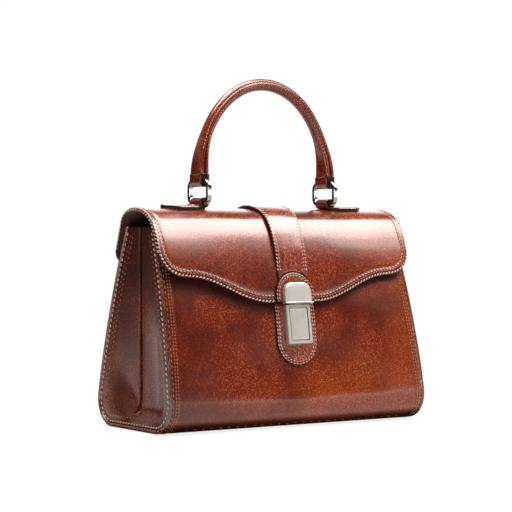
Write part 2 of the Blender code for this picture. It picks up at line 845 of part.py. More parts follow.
def strap_back():
    """Lower end of the strap, on the sewn band."""
    outer, inner = [], []
    half = STRAP_WIDTH_TOP / 2
    base = CLEARANCE + FLAP_STACK + CLEARANCE
    for i in range(FRONT_STEPS + 1):
        z = mix(MOUTH_HEIGHT - BAND_DROP, MOUTH_HEIGHT - STRAP_HINGE_GAP, i / FRONT_STEPS)
        thick = strap_thickness(MOUTH_HEIGHT - z)
        outer.append([band_point(across * half, z, base + up * thick)
                      for across, up in strap_section()])
        inner.append([band_point(across * half, z, base) for across, up in strap_section()])
    return place(slab("strap_back", outer, inner), LEATHER)


# Tabs that carry the lock and the hasp

def lock_tab_top():
    return flap_tip_height() - LOCK_TAB_BELOW_TIP


def lock_top():
    return flap_tip_height() - LOCK_BELOW_TIP


def tab_columns(width):
    half = [width / 2 * math.sin(math.pi / 2 * i / ARC_STEPS) for i in range(ARC_STEPS + 1)]
    return half[::-1] + [-x for x in half[1:]]


def hasp_tab(pivot):
    rows = []
    columns = tab_columns(HASP_TAB_WIDTH)
    for i in range(TAB_ROWS + 1):
        row = []
        for x in columns:
            top = FLAP_TIP_DROP - HASP_TAB_HEIGHT + tab_arc(x, HASP_TAB_WIDTH)
            drop = mix(top, FLAP_TIP_DROP, i / TAB_ROWS)
            row.append(flap_point(x, 1 + drop / FLAP_TIP_DROP, FLAP_TIP_DROP,
                                  CLEARANCE + TAB_THICKNESS))
        rows.append(row)
    return place(sheet("hasp_tab", rows, TAB_THICKNESS), LEATHER, pivot)


def front_lock_tab():
    rows = []
    columns = tab_columns(LOCK_TAB_WIDTH)[::-1]
    for i in range(TAB_ROWS + 1):
        row = []
        for x in columns:
            bottom = lock_tab_top() - LOCK_TAB_LENGTH + tab_arc(x, LOCK_TAB_WIDTH)
            z = mix(bottom, lock_tab_top(), i / TAB_ROWS)
            row.append(front_point(x, z, CLEARANCE + TAB_THICKNESS))
        rows.append(row)
    return place(sheet("front_lock_tab", rows, TAB_THICKNESS), LEATHER)


# Places of the lock and of the hasp: each lies flat on its tab

def flat_seat(points, middle):
    """Origin and tilt of a flat back laid on a nearly flat leather face.

    The origin is moved out until every point of the face is behind it."""
    low, high = points[0][len(points[0]) // 2], points[-1][len(points[-1]) // 2]
    run = high - low
    tilt = -math.atan2(run.y, run.z)
    inward = Vector((0.0, math.cos(tilt), math.sin(tilt)))
    proud = min((point - middle).dot(inward) for row in points for point in row)
    return middle + inward * (proud - CLEARANCE), tilt


def lock_seat():
    heights = [lock_top() - LOCK_HEIGHT * i / TAB_ROWS for i in range(TAB_ROWS, -1, -1)]
    columns = even_columns(LOCK_WIDTH / 2, TAB_ROWS)
    outset = CLEARANCE + TAB_THICKNESS
    points = [[front_point(x, z, outset) for x in columns] for z in heights]
    return flat_seat(points, front_point(0.0, lock_top() - LOCK_HEIGHT / 2, outset))


def hasp_seat():
    drops = [FLAP_TIP_DROP - HASP_HEIGHT * i / TAB_ROWS for i in range(TAB_ROWS + 1)]
    columns = even_columns(HASP_WIDTH / 2, TAB_ROWS)
    outset = CLEARANCE + TAB_THICKNESS

    def at(x, drop):
        return flap_point(x, 1 + drop / FLAP_TIP_DROP, FLAP_TIP_DROP, outset)
    points = [[at(x, drop) for x in columns] for drop in drops]
    return flat_seat(points, at(0.0, FLAP_TIP_DROP - HASP_HEIGHT / 2))


# Lock, in its own frame: Y points into the bag and Z up along the front

def lock_case(seat):
    half_x, half_z = LOCK_WIDTH / 2, LOCK_HEIGHT / 2
    case = block("lock_case", (-half_x, -LOCK_DEPTH, -half_z), (half_x, 0.0, half_z))
    bevel(case, LOCK_EDGE_BEVEL)
    inner_x, inner_z = half_x - LOCK_WALL, half_z - LOCK_WALL
    inner_front = -LOCK_DEPTH + LOCK_FRONT_WALL
    cavity = block("lock_cavity_cut", (-inner_x, inner_front, -inner_z),
                   (inner_x, CUT_OVERRUN, inner_z))
    window_x, window_z = half_x - LOCK_FRAME_WIDTH, half_z - LOCK_FRAME_WIDTH
    window = block("lock_window_cut", (-window_x, -LOCK_DEPTH - CUT_OVERRUN, -window_z),
                   (window_x, inner_front + LOCK_FRONT_WALL, window_z))
    slot_x = TONGUE_WIDTH / 2 + CLEARANCE
    slot = block("lock_slot_cut", (-slot_x, inner_front, inner_z - LOCK_WALL),
                 (slot_x, CUT_OVERRUN, half_z + CUT_OVERRUN))
    for cutter in (cavity, window, slot):
        combine(case, place_cutter(cutter, seat, True), "DIFFERENCE")
    return place(case, NICKEL, seat, True)


def press_plate_front():
    return -LOCK_DEPTH + PRESS_RECESS


def press_flange_back():
    return -LOCK_DEPTH + LOCK_FRONT_WALL + CLEARANCE + PRESS_FLANGE_THICKNESS


def lock_button(seat):
    """Press plate in the lock's window, with a flange that holds it from behind."""
    half_x = LOCK_WIDTH / 2 - LOCK_FRAME_WIDTH - PRESS_GAP
    half_z = LOCK_HEIGHT / 2 - LOCK_FRAME_WIDTH - PRESS_GAP
    back = press_flange_back()
    plate = block("lock_button", (-half_x, press_plate_front(), -half_z),
                  (half_x, back, half_z))
    bevel(plate, LOCK_EDGE_BEVEL / 2)
    rim = PRESS_GAP + PRESS_FLANGE_WIDTH
    flange = block("press_flange", (-half_x - rim, back - PRESS_FLANGE_THICKNESS, -half_z - rim),
                   (half_x + rim, back + CLEARANCE / 2, half_z + rim))
    combine(plate, place_cutter(flange, seat, True), "UNION")
    return place(plate, NICKEL, seat, True)


def lock_catch(seat):
    """Hook on the back of the press plate, just under the tongue."""
    back = press_flange_back()
    top = LOCK_HEIGHT / 2 - TONGUE_REACH - CLEARANCE
    low = (-CATCH_WIDTH / 2, back + CLEARANCE, top - CATCH_HEIGHT)
    high = (CATCH_WIDTH / 2, back + CLEARANCE + CATCH_THICKNESS, top)
    catch = block("lock_catch", low, high)
    bevel(catch, CATCH_THICKNESS / 4)
    return place(catch, STEEL, seat, True)


def lock_base(seat):
    """Plate that closes the lock's back and takes the rivets."""
    half_x = LOCK_WIDTH / 2 - LOCK_WALL - CLEARANCE
    half_z = LOCK_HEIGHT / 2 - LOCK_WALL - CLEARANCE
    plate = block("lock_base", (-half_x, -BASE_PLATE_THICKNESS, -half_z), (half_x, 0.0, half_z))
    for cutter in rivet_cutters("lock_base", lock_rivet_places(), seat,
                                -BASE_PLATE_THICKNESS - CUT_OVERRUN, CUT_OVERRUN):
        combine(plate, cutter, "DIFFERENCE")
    return place(plate, STEEL, seat, True)


def lock_spring(seat):
    """Bowed leaf between the base plate and the press plate."""
    low = -BASE_PLATE_THICKNESS - CLEARANCE
    high = press_flange_back() + CLEARANCE
    rise = low - high - SPRING_THICKNESS
    rows = []
    for i in range(SPRING_STEPS + 1):
        share = i / SPRING_STEPS
        z = mix(-SPRING_LENGTH / 2, SPRING_LENGTH / 2, share)
        y = low - SPRING_THICKNESS - rise * math.sin(math.pi * share)
        rows.append([(-SPRING_WIDTH / 2, y, z), (SPRING_WIDTH / 2, y, z)])
    return place(sheet("lock_spring", rows, SPRING_THICKNESS), STEEL, seat, True)


def lock_rivet_places():
    x, z = LOCK_WIDTH / 2 - RIVET_INSET, LOCK_HEIGHT / 2 - RIVET_INSET
    return [(x, z), (-x, z), (-x, -z), (x, -z)]


def lock_back_depth():
    """Depth in the lock's frame of the back plate's front face, inside the panel."""
    origin, tilt = lock_seat()
    turn = Matrix.Rotation(-tilt, 4, "X")
    deepest = 0.0
    for i in range(TAB_ROWS + 1):
        z = lock_top() - LOCK_HEIGHT * i / TAB_ROWS
        for x in even_columns(LOCK_WIDTH / 2, TAB_ROWS):
            local = turn @ (front_point(x, z, -PANEL_THICKNESS) - origin)
            deepest = max(deepest, local.y)
    return deepest + CLEARANCE


def lock_back_plate(seat):
    """Plate behind the front panel, let into the board, that the rivets are closed on."""
    half_x, half_z = LOCK_WIDTH / 2, LOCK_HEIGHT / 2
    front = lock_back_depth()
    plate = block("lock_back_plate", (-half_x, front, -half_z),
                  (half_x, front + BACK_PLATE_THICKNESS, half_z))
    for cutter in rivet_cutters("lock_back_plate", lock_rivet_places(), seat,
                                front - CUT_OVERRUN, front + CUT_OVERRUN):
        combine(plate, cutter, "DIFFERENCE")
    return place(plate, STEEL, seat, True)


def rivet_cutters(owner, places, seat, low, high):
    cutters = []
    for i, (x, z) in enumerate(places):
        name = owner + "_hole_cut_" + str(i + 1)
        cutter = rod(name, RIVET_RADIUS + CLEARANCE, (x, low, z), (x, high, z), RIVET_SIDES)
        cutters.append(place_cutter(cutter, seat, True))
    return cutters


def lock_rivets(seat):
    """Four rivets from the base plate through tab and panel to the back plate."""
    head_back = -BASE_PLATE_THICKNESS - CLEARANCE
    end = lock_back_depth() + BACK_PLATE_THICKNESS
    rivets = []
    for i, (x, z) in enumerate(lock_rivet_places()):
        rivets.append(rivet("lock_rivet_" + str(i + 1), x, z, head_back, end, seat))
    return rivets


def rivet(name, x, z, head_back, end, seat):
    """Flat head in front of head_back and a shank to end, turned about the Y axis."""
    outline = [(0.0, head_back - RIVET_HEAD_THICKNESS),
               (RIVET_HEAD_RADIUS, head_back - RIVET_HEAD_THICKNESS),
               (RIVET_HEAD_RADIUS, head_back), (RIVET_RADIUS, head_back),
               (RIVET_RADIUS, end), (0.0, end)]

    def build(bm):
        rings = []
        for radius, y in outline[1:-1]:
            ring = []
            for k in range(RIVET_SIDES):
                angle = 2 * math.pi * k / RIVET_SIDES
                ring.append(bm.verts.new((x + radius * math.cos(angle), y,
                                          z + radius * math.sin(angle))))
            rings.append(ring)
        for low, high in zip(rings, rings[1:]):
            for a, b, c, d in zip(low, low[1:] + low[:1], high[1:] + high[:1], high):
                bm.faces.new((a, b, c, d))
        bm.faces.new(rings[0])
        bm.faces.new(rings[-1])
    return place(mesh_object(name, build), STEEL, seat, True)


# Hasp, in its own frame: Y points into the bag and Z up along the flap

def hasp_bottom():
    """Height in the hasp's frame of the flap's lower edge."""
    return -HASP_HEIGHT / 2 - CLEARANCE


def tongue_depth(lock, hasp):
    """Depth in the hasp's frame of the tongue's back, behind the lock's front wall."""
    room = LOCK_DEPTH - LOCK_FRONT_WALL - BASE_PLATE_THICKNESS
    back = -BASE_PLATE_THICKNESS - room / 8
    top = lock.matrix_world @ Vector((0.0, back, LOCK_HEIGHT / 2))
    return (hasp.matrix_world.inverted() @ top).y


def hasp_cap(seat, tongue_back):
    """Domed cap with a ledge along its lower edge that runs back over the lock."""
    half = HASP_WIDTH / 2
    low, high = hasp_bottom(), HASP_HEIGHT / 2
    base = low - LIP_HEIGHT / 2
    corner = HASP_CORNER_RADIUS
    outline = [(half, base), (half, high - corner)]
    for i in range(1, ARC_STEPS + 1):
        angle = math.pi / 2 * i / ARC_STEPS
        outline.append((half - corner + corner * math.cos(angle),
                        high - corner + corner * math.sin(angle)))
    outline += [(-x, z) for x, z in outline[::-1]]
    cap = outline_solid("hasp_cap", outline, 0.0, HASP_THICKNESS)
    cap.data.transform(Matrix.Rotation(math.pi / 2, 4, "X"))
    bevel(cap, HASP_EDGE_BEVEL, segments=3, angle=1.0)
    lip = block("hasp_lip", (-LIP_WIDTH / 2, -HASP_THICKNESS - LIP_PROUD, low - LIP_HEIGHT),
                (LIP_WIDTH / 2, tongue_back + TONGUE_THICKNESS, low))
    bevel(lip, LIP_BEVEL)
    combine(cap, place_cutter(lip, seat, True), "UNION")
    gap = CLEARANCE
    slot = block("hasp_tongue_cut",
                 (-TONGUE_WIDTH / 2 - gap, tongue_back - TONGUE_THICKNESS - gap,
                  low - LIP_HEIGHT - CUT_OVERRUN),
                 (TONGUE_WIDTH / 2 + gap, tongue_back + gap, low - LIP_HEIGHT + TONGUE_SEAT + gap))
    combine(cap, place_cutter(slot, seat, True), "DIFFERENCE")
    for x, z in hasp_rivet_places():
        hole = rod("hasp_cap_hole_cut", RIVET_RADIUS + gap, (x, -HASP_RIVET_SEAT - gap, z),
                   (x, CUT_OVERRUN, z), RIVET_SIDES)
        combine(cap, place_cutter(hole, seat, True), "DIFFERENCE")
    return place(cap, NICKEL, seat, True)


def hasp_tongue(seat, tongue_back):
    low = hasp_bottom() - LIP_HEIGHT
    tongue = block("hasp_tongue",
                   (-TONGUE_WIDTH / 2, tongue_back - TONGUE_THICKNESS,
                    low - LIP_GAP - TONGUE_REACH),
                   (TONGUE_WIDTH / 2, tongue_back, low + TONGUE_SEAT))
    bevel(tongue, TONGUE_THICKNESS / 4)
    return place(tongue, STEEL, seat, True)


def hasp_rivet_places():
    return [(HASP_RIVET_SPACING / 2, 0.0), (-HASP_RIVET_SPACING / 2, 0.0)]


def hasp_plate_depth():
    """Depth in the hasp's frame of the plate under the flap's leather."""
    origin, tilt = hasp_seat()
    turn = Matrix.Rotation(-tilt, 4, "X")
    deepest = 0.0
    for i in range(TAB_ROWS + 1):
        drop = FLAP_TIP_DROP - HASP_HEIGHT * i / TAB_ROWS
        point = flap_point(0.0, 1 + drop / FLAP_TIP_DROP, FLAP_TIP_DROP, -FLAP_THICKNESS)
        deepest = max(deepest, (turn @ (point - origin)).y)
    return deepest + CLEARANCE


def hasp_back_plate(seat):
    front = hasp_plate_depth()
    plate = block("hasp_back_plate",
                  (-HASP_PLATE_WIDTH / 2, front, -HASP_PLATE_HEIGHT / 2),
                  (HASP_PLATE_WIDTH / 2, front + BACK_PLATE_THICKNESS, HASP_PLATE_HEIGHT / 2))
    for cutter in rivet_cutters("hasp_back_plate", hasp_rivet_places(), seat,
                                front - CUT_OVERRUN, front + CUT_OVERRUN):
        combine(plate, cutter, "DIFFERENCE")
    return place(plate, STEEL, seat, True)


def hasp_rivets(seat):
    end = hasp_plate_depth() + BACK_PLATE_THICKNESS
    rivets = []
    for i, (x, z) in enumerate(hasp_rivet_places()):
        pin = rod("hasp_rivet_" + str(i + 1), RIVET_RADIUS, (x, -HASP_RIVET_SEAT, z),
                  (x, end, z), RIVET_SIDES)
        rivets.append(place(pin, STEEL, seat, True))
    return rivets


def pierce_layers(lock, hasp, layers):
    """Cut the rivet holes and the plates' windows out of leather, board and lining."""
    reach = lock_back_depth() + CUT_OVERRUN
    for cutter in rivet_cutters("front_layers", lock_rivet_places(), lock,
                                -CUT_OVERRUN / 2, reach):
        combine(layers["front_lock_tab"], cutter, "DIFFERENCE")
        combine(layers["front_panel"], cutter, "DIFFERENCE")
    half_x = LOCK_WIDTH / 2 + CLEARANCE
    half_z = LOCK_HEIGHT / 2 + CLEARANCE
    front = lock_back_depth() - PANEL_THICKNESS
    window = block("board_window_cut", (-half_x, front, -half_z),
                   (half_x, lock_back_depth() + BOARD_THICKNESS + CUT_OVERRUN, half_z))
    combine(layers["wall_board"], place_cutter(window, lock, True), "DIFFERENCE")
    depth = hasp_plate_depth()
    for cutter in rivet_cutters("flap_layers", hasp_rivet_places(), hasp,
                                -CUT_OVERRUN / 2, depth + CUT_OVERRUN):
        combine(layers["hasp_tab"], cutter, "DIFFERENCE")
        combine(layers["flap"], cutter, "DIFFERENCE")
    half_x = HASP_PLATE_WIDTH / 2 + CLEARANCE
    half_z = HASP_PLATE_HEIGHT / 2 + CLEARANCE
    window = block("flap_window_cut", (-half_x, depth - FLAP_THICKNESS / 2, -half_z),
                   (half_x, depth + FLAP_LINING_THICKNESS + CUT_OVERRUN, half_z))
    combine(layers["flap_lining"], place_cutter(window, hasp, True), "DIFFERENCE")


# Rings, the tabs that hold them, and the handle

def lower_wire_height():
    """Height of the ring's lower wire centre, in its eye on top of the flap."""
    return crown_top() + CLEARANCE + EYE_WALL + PIVOT_CLEARANCE + RING_WIRE_RADIUS


def upper_wire_height():
    return lower_wire_height() + RING_HEIGHT


def bore_radius():
    return RING_WIRE_RADIUS + PIVOT_CLEARANCE


def ring(side, name, pivot):
    """Wire bent to a rectangle with round corners."""
    centre_z = (lower_wire_height() + upper_wire_height()) / 2
    flat_y = RING_DEPTH / 2 - RING_CORNER_RADIUS
    flat_z = RING_HEIGHT / 2 - RING_CORNER_RADIUS
    points = []
    for quarter, (sy, sz) in enumerate(((1, 1), (-1, 1), (-1, -1), (1, -1))):
        for i in range(RING_CORNER_STEPS + 1):
            angle = math.pi / 2 * (quarter + i / RING_CORNER_STEPS)
            points.append((side * RING_SPACING / 2,
                           sy * flat_y + RING_CORNER_RADIUS * math.cos(angle),
                           centre_z + sz * flat_z + RING_CORNER_RADIUS * math.sin(angle)))
    wire = tube(name, points, RING_WIRE_RADIUS, 2, cyclic=True)
    return place(wire, NICKEL, pivot)


def chape(side, name, pivot):
    """Stitched tab on the flap with an eye round the ring's lower wire."""
    x0 = RING_SPACING / 2
    neck = EYE_WIDTH / 2
    wide = CHAPE_WIDTH / 2
    shoulder = x0 + CHAPE_NECK_LENGTH
    tip = x0 + CHAPE_LENGTH
    half = [(x0, neck), (shoulder - (wide - neck), neck), (shoulder, wide),
            (tip - CHAPE_POINT_LENGTH, wide), (tip, CHAPE_POINT_LENGTH / 4)]
    outline = half + [(x, -y) for x, y in half[::-1]]
    outline = [(side * x, y) for x, y in outline]
    low = crown_top() + CLEARANCE
    tab = outline_solid(name, outline, low, low + CHAPE_THICKNESS)
    bevel(tab, CHAPE_BEVEL, segments=1, angle=1.0)
    z = lower_wire_height()
    eye = rod(name + "_eye", bore_radius() + EYE_WALL, (side * x0, -neck, z), (side * x0, neck, z), EYE_SIDES)
    combine(tab, place_cutter(eye, pivot), "UNION")
    bore = rod(name + "_bore_cut", bore_radius(),
               (side * x0, -neck - CUT_OVERRUN, z), (side * x0, neck + CUT_OVERRUN, z), EYE_SIDES)
    combine(tab, place_cutter(bore, pivot), "DIFFERENCE")
    return place(tab, LEATHER, pivot)


def handle_top():
    return MOUTH_HEIGHT + HANDLE_RISE


def arch_point(share):
    """Centre line of half of the handle, from its top (0) to its foot (1), as (x, z)."""
    top = Vector((0.0, handle_top()))
    foot = Vector((RING_SPACING / 2, foot_height()))
    top_pull = Vector((ARCH_TOP_SHARE * foot.x, handle_top()))
    rise = handle_top() - foot.y
    foot_pull = Vector((ARCH_FOOT_SHARES[0] * foot.x, foot.y + ARCH_FOOT_SHARES[1] * rise))
    rest = 1 - share
    return (top * rest ** 3 + top_pull * 3 * rest ** 2 * share
            + foot_pull * 3 * rest * share ** 2 + foot * share ** 3)


def foot_height():
    return upper_wire_height() + FOOT_GAP


def arch_stations(steps):
    """Signed places along the whole arch, left foot to right foot."""
    half = [i / steps for i in range(steps + 1)]
    return [-share for share in half[::-1]] + half[1:]


def arch_ring(station, radius_out, sides, shrink):
    """Ring of points round the arch, flatter and wider towards its feet."""
    side = -1 if station < 0 else 1
    share = abs(station)
    centre = arch_point(share)
    ahead = arch_point(min(share + NORMAL_STEP_SHARE, 1.0))
    behind = arch_point(max(share - NORMAL_STEP_SHARE, 0.0))
    run = (ahead - behind).normalized()
    out = Vector((-run.y, run.x))
    flare = 1 - smooth_share(centre.y, foot_height(), foot_height() + FOOT_FLARE_HEIGHT)
    half_y = mix(radius_out, FOOT_WIDTH / 2, flare) - shrink
    half_out = mix(radius_out, FOOT_THICKNESS / 2, flare) - shrink
    points = []
    for k in range(sides):
        angle = 2 * math.pi * k / sides
        offset = out * half_out * math.cos(angle)
        points.append((side * (centre.x + offset.x), half_y * math.sin(angle),
                       centre.y + offset.y))
    return points


def handle_grip(pivot):
    """Leather tube sewn round the core, open at its two feet."""
    def build(bm):
        loops = [[bm.verts.new(point) for point in arch_ring(s, GRIP_RADIUS, GRIP_SIDES, 0.0)]
                 for s in arch_stations(GRIP_STEPS)]
        for low, high in zip(loops, loops[1:]):
            for corners in zip(low, low[1:] + low[:1], high[1:] + high[:1], high):
                bm.faces.new(corners)
    grip = mesh_object("handle_grip", build)
    shade(grip.data)
    solid = grip.modifiers.new("thickness", "SOLIDIFY")
    solid.thickness = GRIP_WALL
    solid.offset = -1.0
    solid.use_even_offset = True
    return place(grip, LEATHER, pivot)


def handle_core(pivot):
    """Cord that fills the grip between the necks of the two loops."""
    neck_top = upper_wire_height() + NECK_HEIGHT + CORE_GAP
    shrink = GRIP_WALL + CORE_CLEARANCE
    stations = [s for s in arch_stations(GRIP_STEPS) if arch_point(abs(s)).y > neck_top]
    rings = [arch_ring(s, GRIP_RADIUS, GRIP_SIDES, shrink) for s in stations]
    return place(loft("handle_core", rings), CORD, pivot)


def handle_loop(side, name, pivot):
    """Leather loop round the ring's upper wire, with a neck inside the grip's foot."""
    x, z = side * RING_SPACING / 2, upper_wire_height()
    half_y = EYE_WIDTH / 2
    loop = rod(name, bore_radius() + LOOP_WALL, (x, -half_y, z), (x, half_y, z), EYE_SIDES)
    neck_x = (FOOT_THICKNESS / 2 - GRIP_WALL) * NECK_FILL_SHARE
    neck_y = (FOOT_WIDTH / 2 - GRIP_WALL) * NECK_FILL_SHARE
    neck = block(name + "_neck", (x - neck_x, -neck_y, z), (x + neck_x, neck_y, z + NECK_HEIGHT))
    combine(loop, place_cutter(neck, pivot), "UNION")
    bore = rod(name + "_bore_cut", bore_radius(),
               (x, -half_y - CUT_OVERRUN, z), (x, half_y + CUT_OVERRUN, z), EYE_SIDES)
    combine(loop, place_cutter(bore, pivot), "DIFFERENCE")
    return place(loop, LEATHER, pivot)


# Groups

def build_body():
    layers = {"front_panel": front_panel(), "front_lock_tab": front_lock_tab()}
    back_panel()
    base_panel()
    layers["wall_board"] = wrapped_layer("wall_board", board_inset(), BOARD_THICKNESS, BOARD)
    wrapped_layer("wall_lining", lining_inset(), LINING_THICKNESS, SUEDE)
    for side, end in ((-1, "left"), (1, "right")):
        welt(side, "welt_" + end)
        gusset(side, "gusset_" + end)
        gusset_lining(side, "gusset_lining_" + end)
    inner_pocket()
    flap_back()
    strap_back()
    return layers


def build_lock():
    origin, tilt = lock_seat()
    seat = empty("lock_seat", origin, tilt)
    lock_case(seat)
    lock_base(seat)
    lock_spring(seat)
    lock_back_plate(seat)
    lock_rivets(seat)
    lock_button(seat)
    lock_catch(seat)
    return seat


def build_flap(pivot, lock):
    layers = {"flap": flap(pivot), "flap_lining": flap_lining(pivot), "hasp_tab": hasp_tab(pivot)}
    centre_strap(pivot)
    origin, tilt = hasp_seat()
    seat = empty("hasp_seat", origin, tilt, pivot)
    back = tongue_depth(lock, seat)
    hasp_cap(seat, back)
    hasp_tongue(seat, back)
    hasp_back_plate(seat)
    hasp_rivets(seat)
    chape(-1, "ring_tab_left", pivot)
    chape(1, "ring_tab_right", pivot)
    return layers, seat


def build_handle(pivot):
    x = RING_SPACING / 2
    left = empty("ring_left_pivot", (-x, 0.0, lower_wire_height()), parent=pivot)
    right = empty("ring_right_pivot", (x, 0.0, lower_wire_height()), parent=pivot)
    ring(-1, "ring_left", left)
    ring(1, "ring_right", right)
    handle = empty("handle_pivot", (-x, 0.0, upper_wire_height()), parent=left)
    handle_grip(handle)
    handle_core(handle)
    handle_loop(-1, "handle_loop_left", handle)
    handle_loop(1, "handle_loop_right", handle)


def main():
    clear_scene()
    layers = build_body()
    lock = build_lock()
    hinge = hinge_point()
    pivot = empty("flap_pivot", (0.0, hinge.x, hinge.y))
    flap_layers, hasp = build_flap(pivot, lock)
    layers.update(flap_layers)
    pierce_layers(lock, hasp, layers)
    build_handle(pivot)
    bpy.context.view_layer.update()


main()
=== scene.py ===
"""Leather satchel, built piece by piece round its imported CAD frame.

Metres, +Z up, front at -Y, base at z = 0.
"""
import math

import bmesh
import bpy
import numpy as np
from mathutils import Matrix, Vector


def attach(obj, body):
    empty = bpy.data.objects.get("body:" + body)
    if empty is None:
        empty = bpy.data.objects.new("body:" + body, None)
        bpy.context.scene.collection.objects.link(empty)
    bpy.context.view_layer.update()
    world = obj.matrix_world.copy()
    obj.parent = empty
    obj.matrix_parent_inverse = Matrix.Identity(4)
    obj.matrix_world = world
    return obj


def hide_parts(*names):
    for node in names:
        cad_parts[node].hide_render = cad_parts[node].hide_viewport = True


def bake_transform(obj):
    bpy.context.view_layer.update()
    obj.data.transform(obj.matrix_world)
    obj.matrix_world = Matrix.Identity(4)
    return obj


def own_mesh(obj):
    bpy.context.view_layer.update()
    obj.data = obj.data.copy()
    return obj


bl_info = {
    "name": "Leather Satchel",
    "version": (1, 0, 0),
    "blender": (4, 5, 0),
    "location": "3D View > Sidebar > Satchel",
    "description": "Builds a structured leather satchel piece by piece on its packed frame",
    "category": "Add Mesh",
}

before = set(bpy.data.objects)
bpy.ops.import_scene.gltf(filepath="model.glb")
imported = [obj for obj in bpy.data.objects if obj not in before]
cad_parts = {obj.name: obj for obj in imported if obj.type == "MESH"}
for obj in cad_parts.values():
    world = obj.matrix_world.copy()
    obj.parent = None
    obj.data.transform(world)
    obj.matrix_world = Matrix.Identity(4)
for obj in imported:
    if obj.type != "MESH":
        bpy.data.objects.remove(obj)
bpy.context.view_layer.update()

# Sizes of the frame that the soft pieces follow, repeated from the part
BASE_LENGTH, MOUTH_LENGTH, MOUTH_HEIGHT = 0.270, 0.255, 0.174
BODY_DEPTH, MOUTH_DEPTH = 0.124, 0.0466
CORNER_RADIUS, SIDE_BULGE = 0.025, 0.004
DIP_DEPTH, DIP_LENGTH, DIP_HEIGHT = 0.004, 0.230, 0.112
WALL_STACK = 0.0052
FLAP_LENGTH, FLAP_STACK, CLEARANCE = 0.262, 0.0031, 0.0003
FLAP_MOUTH_GAP, FLAP_TIP_GAP, FLAP_BOW, FLAP_BOW_SKEW = 0.0029, 0.0005, 0.0026, 0.7
CROWN_HEIGHT, CROWN_BACK, CROWN_FRONT = 0.015, (0.05, 1.40), (0.30, 1.27)
TIP_DROP, TIP_LENGTH, WAVE_LENGTH, SIDE_DROP, FLAP_CORNER = 0.066, 0.050, 0.080, 0.0435, 0.023
BAND_DROP, BAND_CORNER = 0.033, 0.012
STRAP_TOP, STRAP_FRONT, STRAP_THICK, STRAP_END_THICK = 0.0357, 0.032, 0.0032, 0.0018
TAB_THICK, HASP_TAB_WIDTH, HASP_TAB_HEIGHT = 0.0020, 0.0396, 0.0252
LOCK_TAB_WIDTH, LOCK_TAB_TOP, LOCK_TAB_BOTTOM = 0.0412, 0.1070, 0.0535
LOCK_WIDTH, LOCK_HEIGHT, HASP_WIDTH = 0.0250, 0.0338, 0.0273
LOCK_SEAT, LOCK_TILT = (0.0, -0.05084, 0.08815), math.radians(-9.2488)
SPRING_LENGTH, SPRING_WIDTH, SPRING_THICK = 0.0125, 0.0045, 0.0003
SPRING_BASE, SPRING_RISE, SPRING_PRESSED = 0.0011, 0.0016, 0.45
HASP_SEAT, HASP_TILT = (0.0, -0.04968, 0.11683), math.radians(-9.5136)
RING_SPACING, RING_DEPTH, RING_HEIGHT, RING_CORNER = 0.1338, 0.0307, 0.0185, 0.0060
LOWER_WIRE, UPPER_WIRE, WIRE_RADIUS = 0.193727, 0.212227, 0.0023
CHAPE_LENGTH, CHAPE_WIDTH, CHAPE_THICK, CHAPE_BASE = 0.0390, 0.0250, 0.0034, 0.189327
EYE_WIDTH = 0.0178
HANDLE_TOP, FOOT_HEIGHT, GRIP_RADIUS = 0.2990, 0.216727, 0.0053
FOOT_WIDTH, FOOT_THICK, FLARE_HEIGHT = 0.0176, 0.0094, 0.045
ARCH_TOP, ARCH_FOOT = 0.61, (1.016, 0.476)
# Sizes that only the visible pieces have
PANEL_HALF, FLAP_RUN, STEEPEST_EDGE = 0.13, 0.145, 1.5
SEAM_GROOVE, LINE_ENDS, FOLD_START = 0.0082, 0.004, 0.62
GUSSET_THICK, STRAP_HALF, CHAPE_HALF = 0.0028, 0.017, 0.0125
EYE_ROUND, EYE_PLAY, LEAST_CORNER = 0.0006, 0.0003, 0.00005
BAND_REACH, FRONT_REACH, MOUTH_SKIP = 0.040, 0.070, 0.0015
STRAP_PARED, STRAP_ROUND, HANDLE_SEAM = 0.040, 0.0014, 0.42
POCKET_HALF, POCKET_LOW, POCKET_HIGH, POCKET_SEAM = 0.075, 0.0615, 0.147, 0.0025


def srgb(red, green, blue):
    """Linear colour of an 8-bit screen colour."""
    def channel(value):
        value /= 255
        return value / 12.92 if value <= 0.04045 else ((value + 0.055) / 1.055) ** 2.4
    return (channel(red), channel(green), channel(blue))


# Sizes and colours that a user may change

def length(name, description, default, low=0.0, high=0.1):
    return bpy.props.FloatProperty(name=name, description=description, default=default, min=low,
                                   max=high, precision=5, subtype="DISTANCE", unit="LENGTH")


def colour(name, description, value):
    return bpy.props.FloatVectorProperty(name=name, description=description, default=value,
                                         size=3, min=0.0, max=1.0, subtype="COLOR")


class SatchelSizes(bpy.types.PropertyGroup):
    grid_step: length("Grid Step", "Spacing of the leather pieces' vertices", 0.003, 0.001, 0.01)
    edge_round: length("Edge Rounding", "Radius of a leather piece's upper edge", 0.0010)
    binding_width: length("Binding Width", "Strip sewn along the flap's edge", 0.0056)
    ripple: length("Ripple", "How far the leather waves out of its smooth shape", 0.00025)
    sag: length("Sag", "How far the gusset's sides slump between their seams", 0.0012)
    piping_radius: length("Piping Radius", "Bead along each end seam", 0.00175)
    stitch_length: length("Stitch Length", "Length of a stitch that shows", 0.0027)
    stitch_pitch: length("Stitch Spacing", "From one stitch to the next", 0.0038, 0.001)
    thread_radius: length("Thread Radius", "Half the thickness of the thread", 0.00036)
    grain: length("Grain Size", "Width of one pebble of the leather's grain", 0.00075, 0.0002)


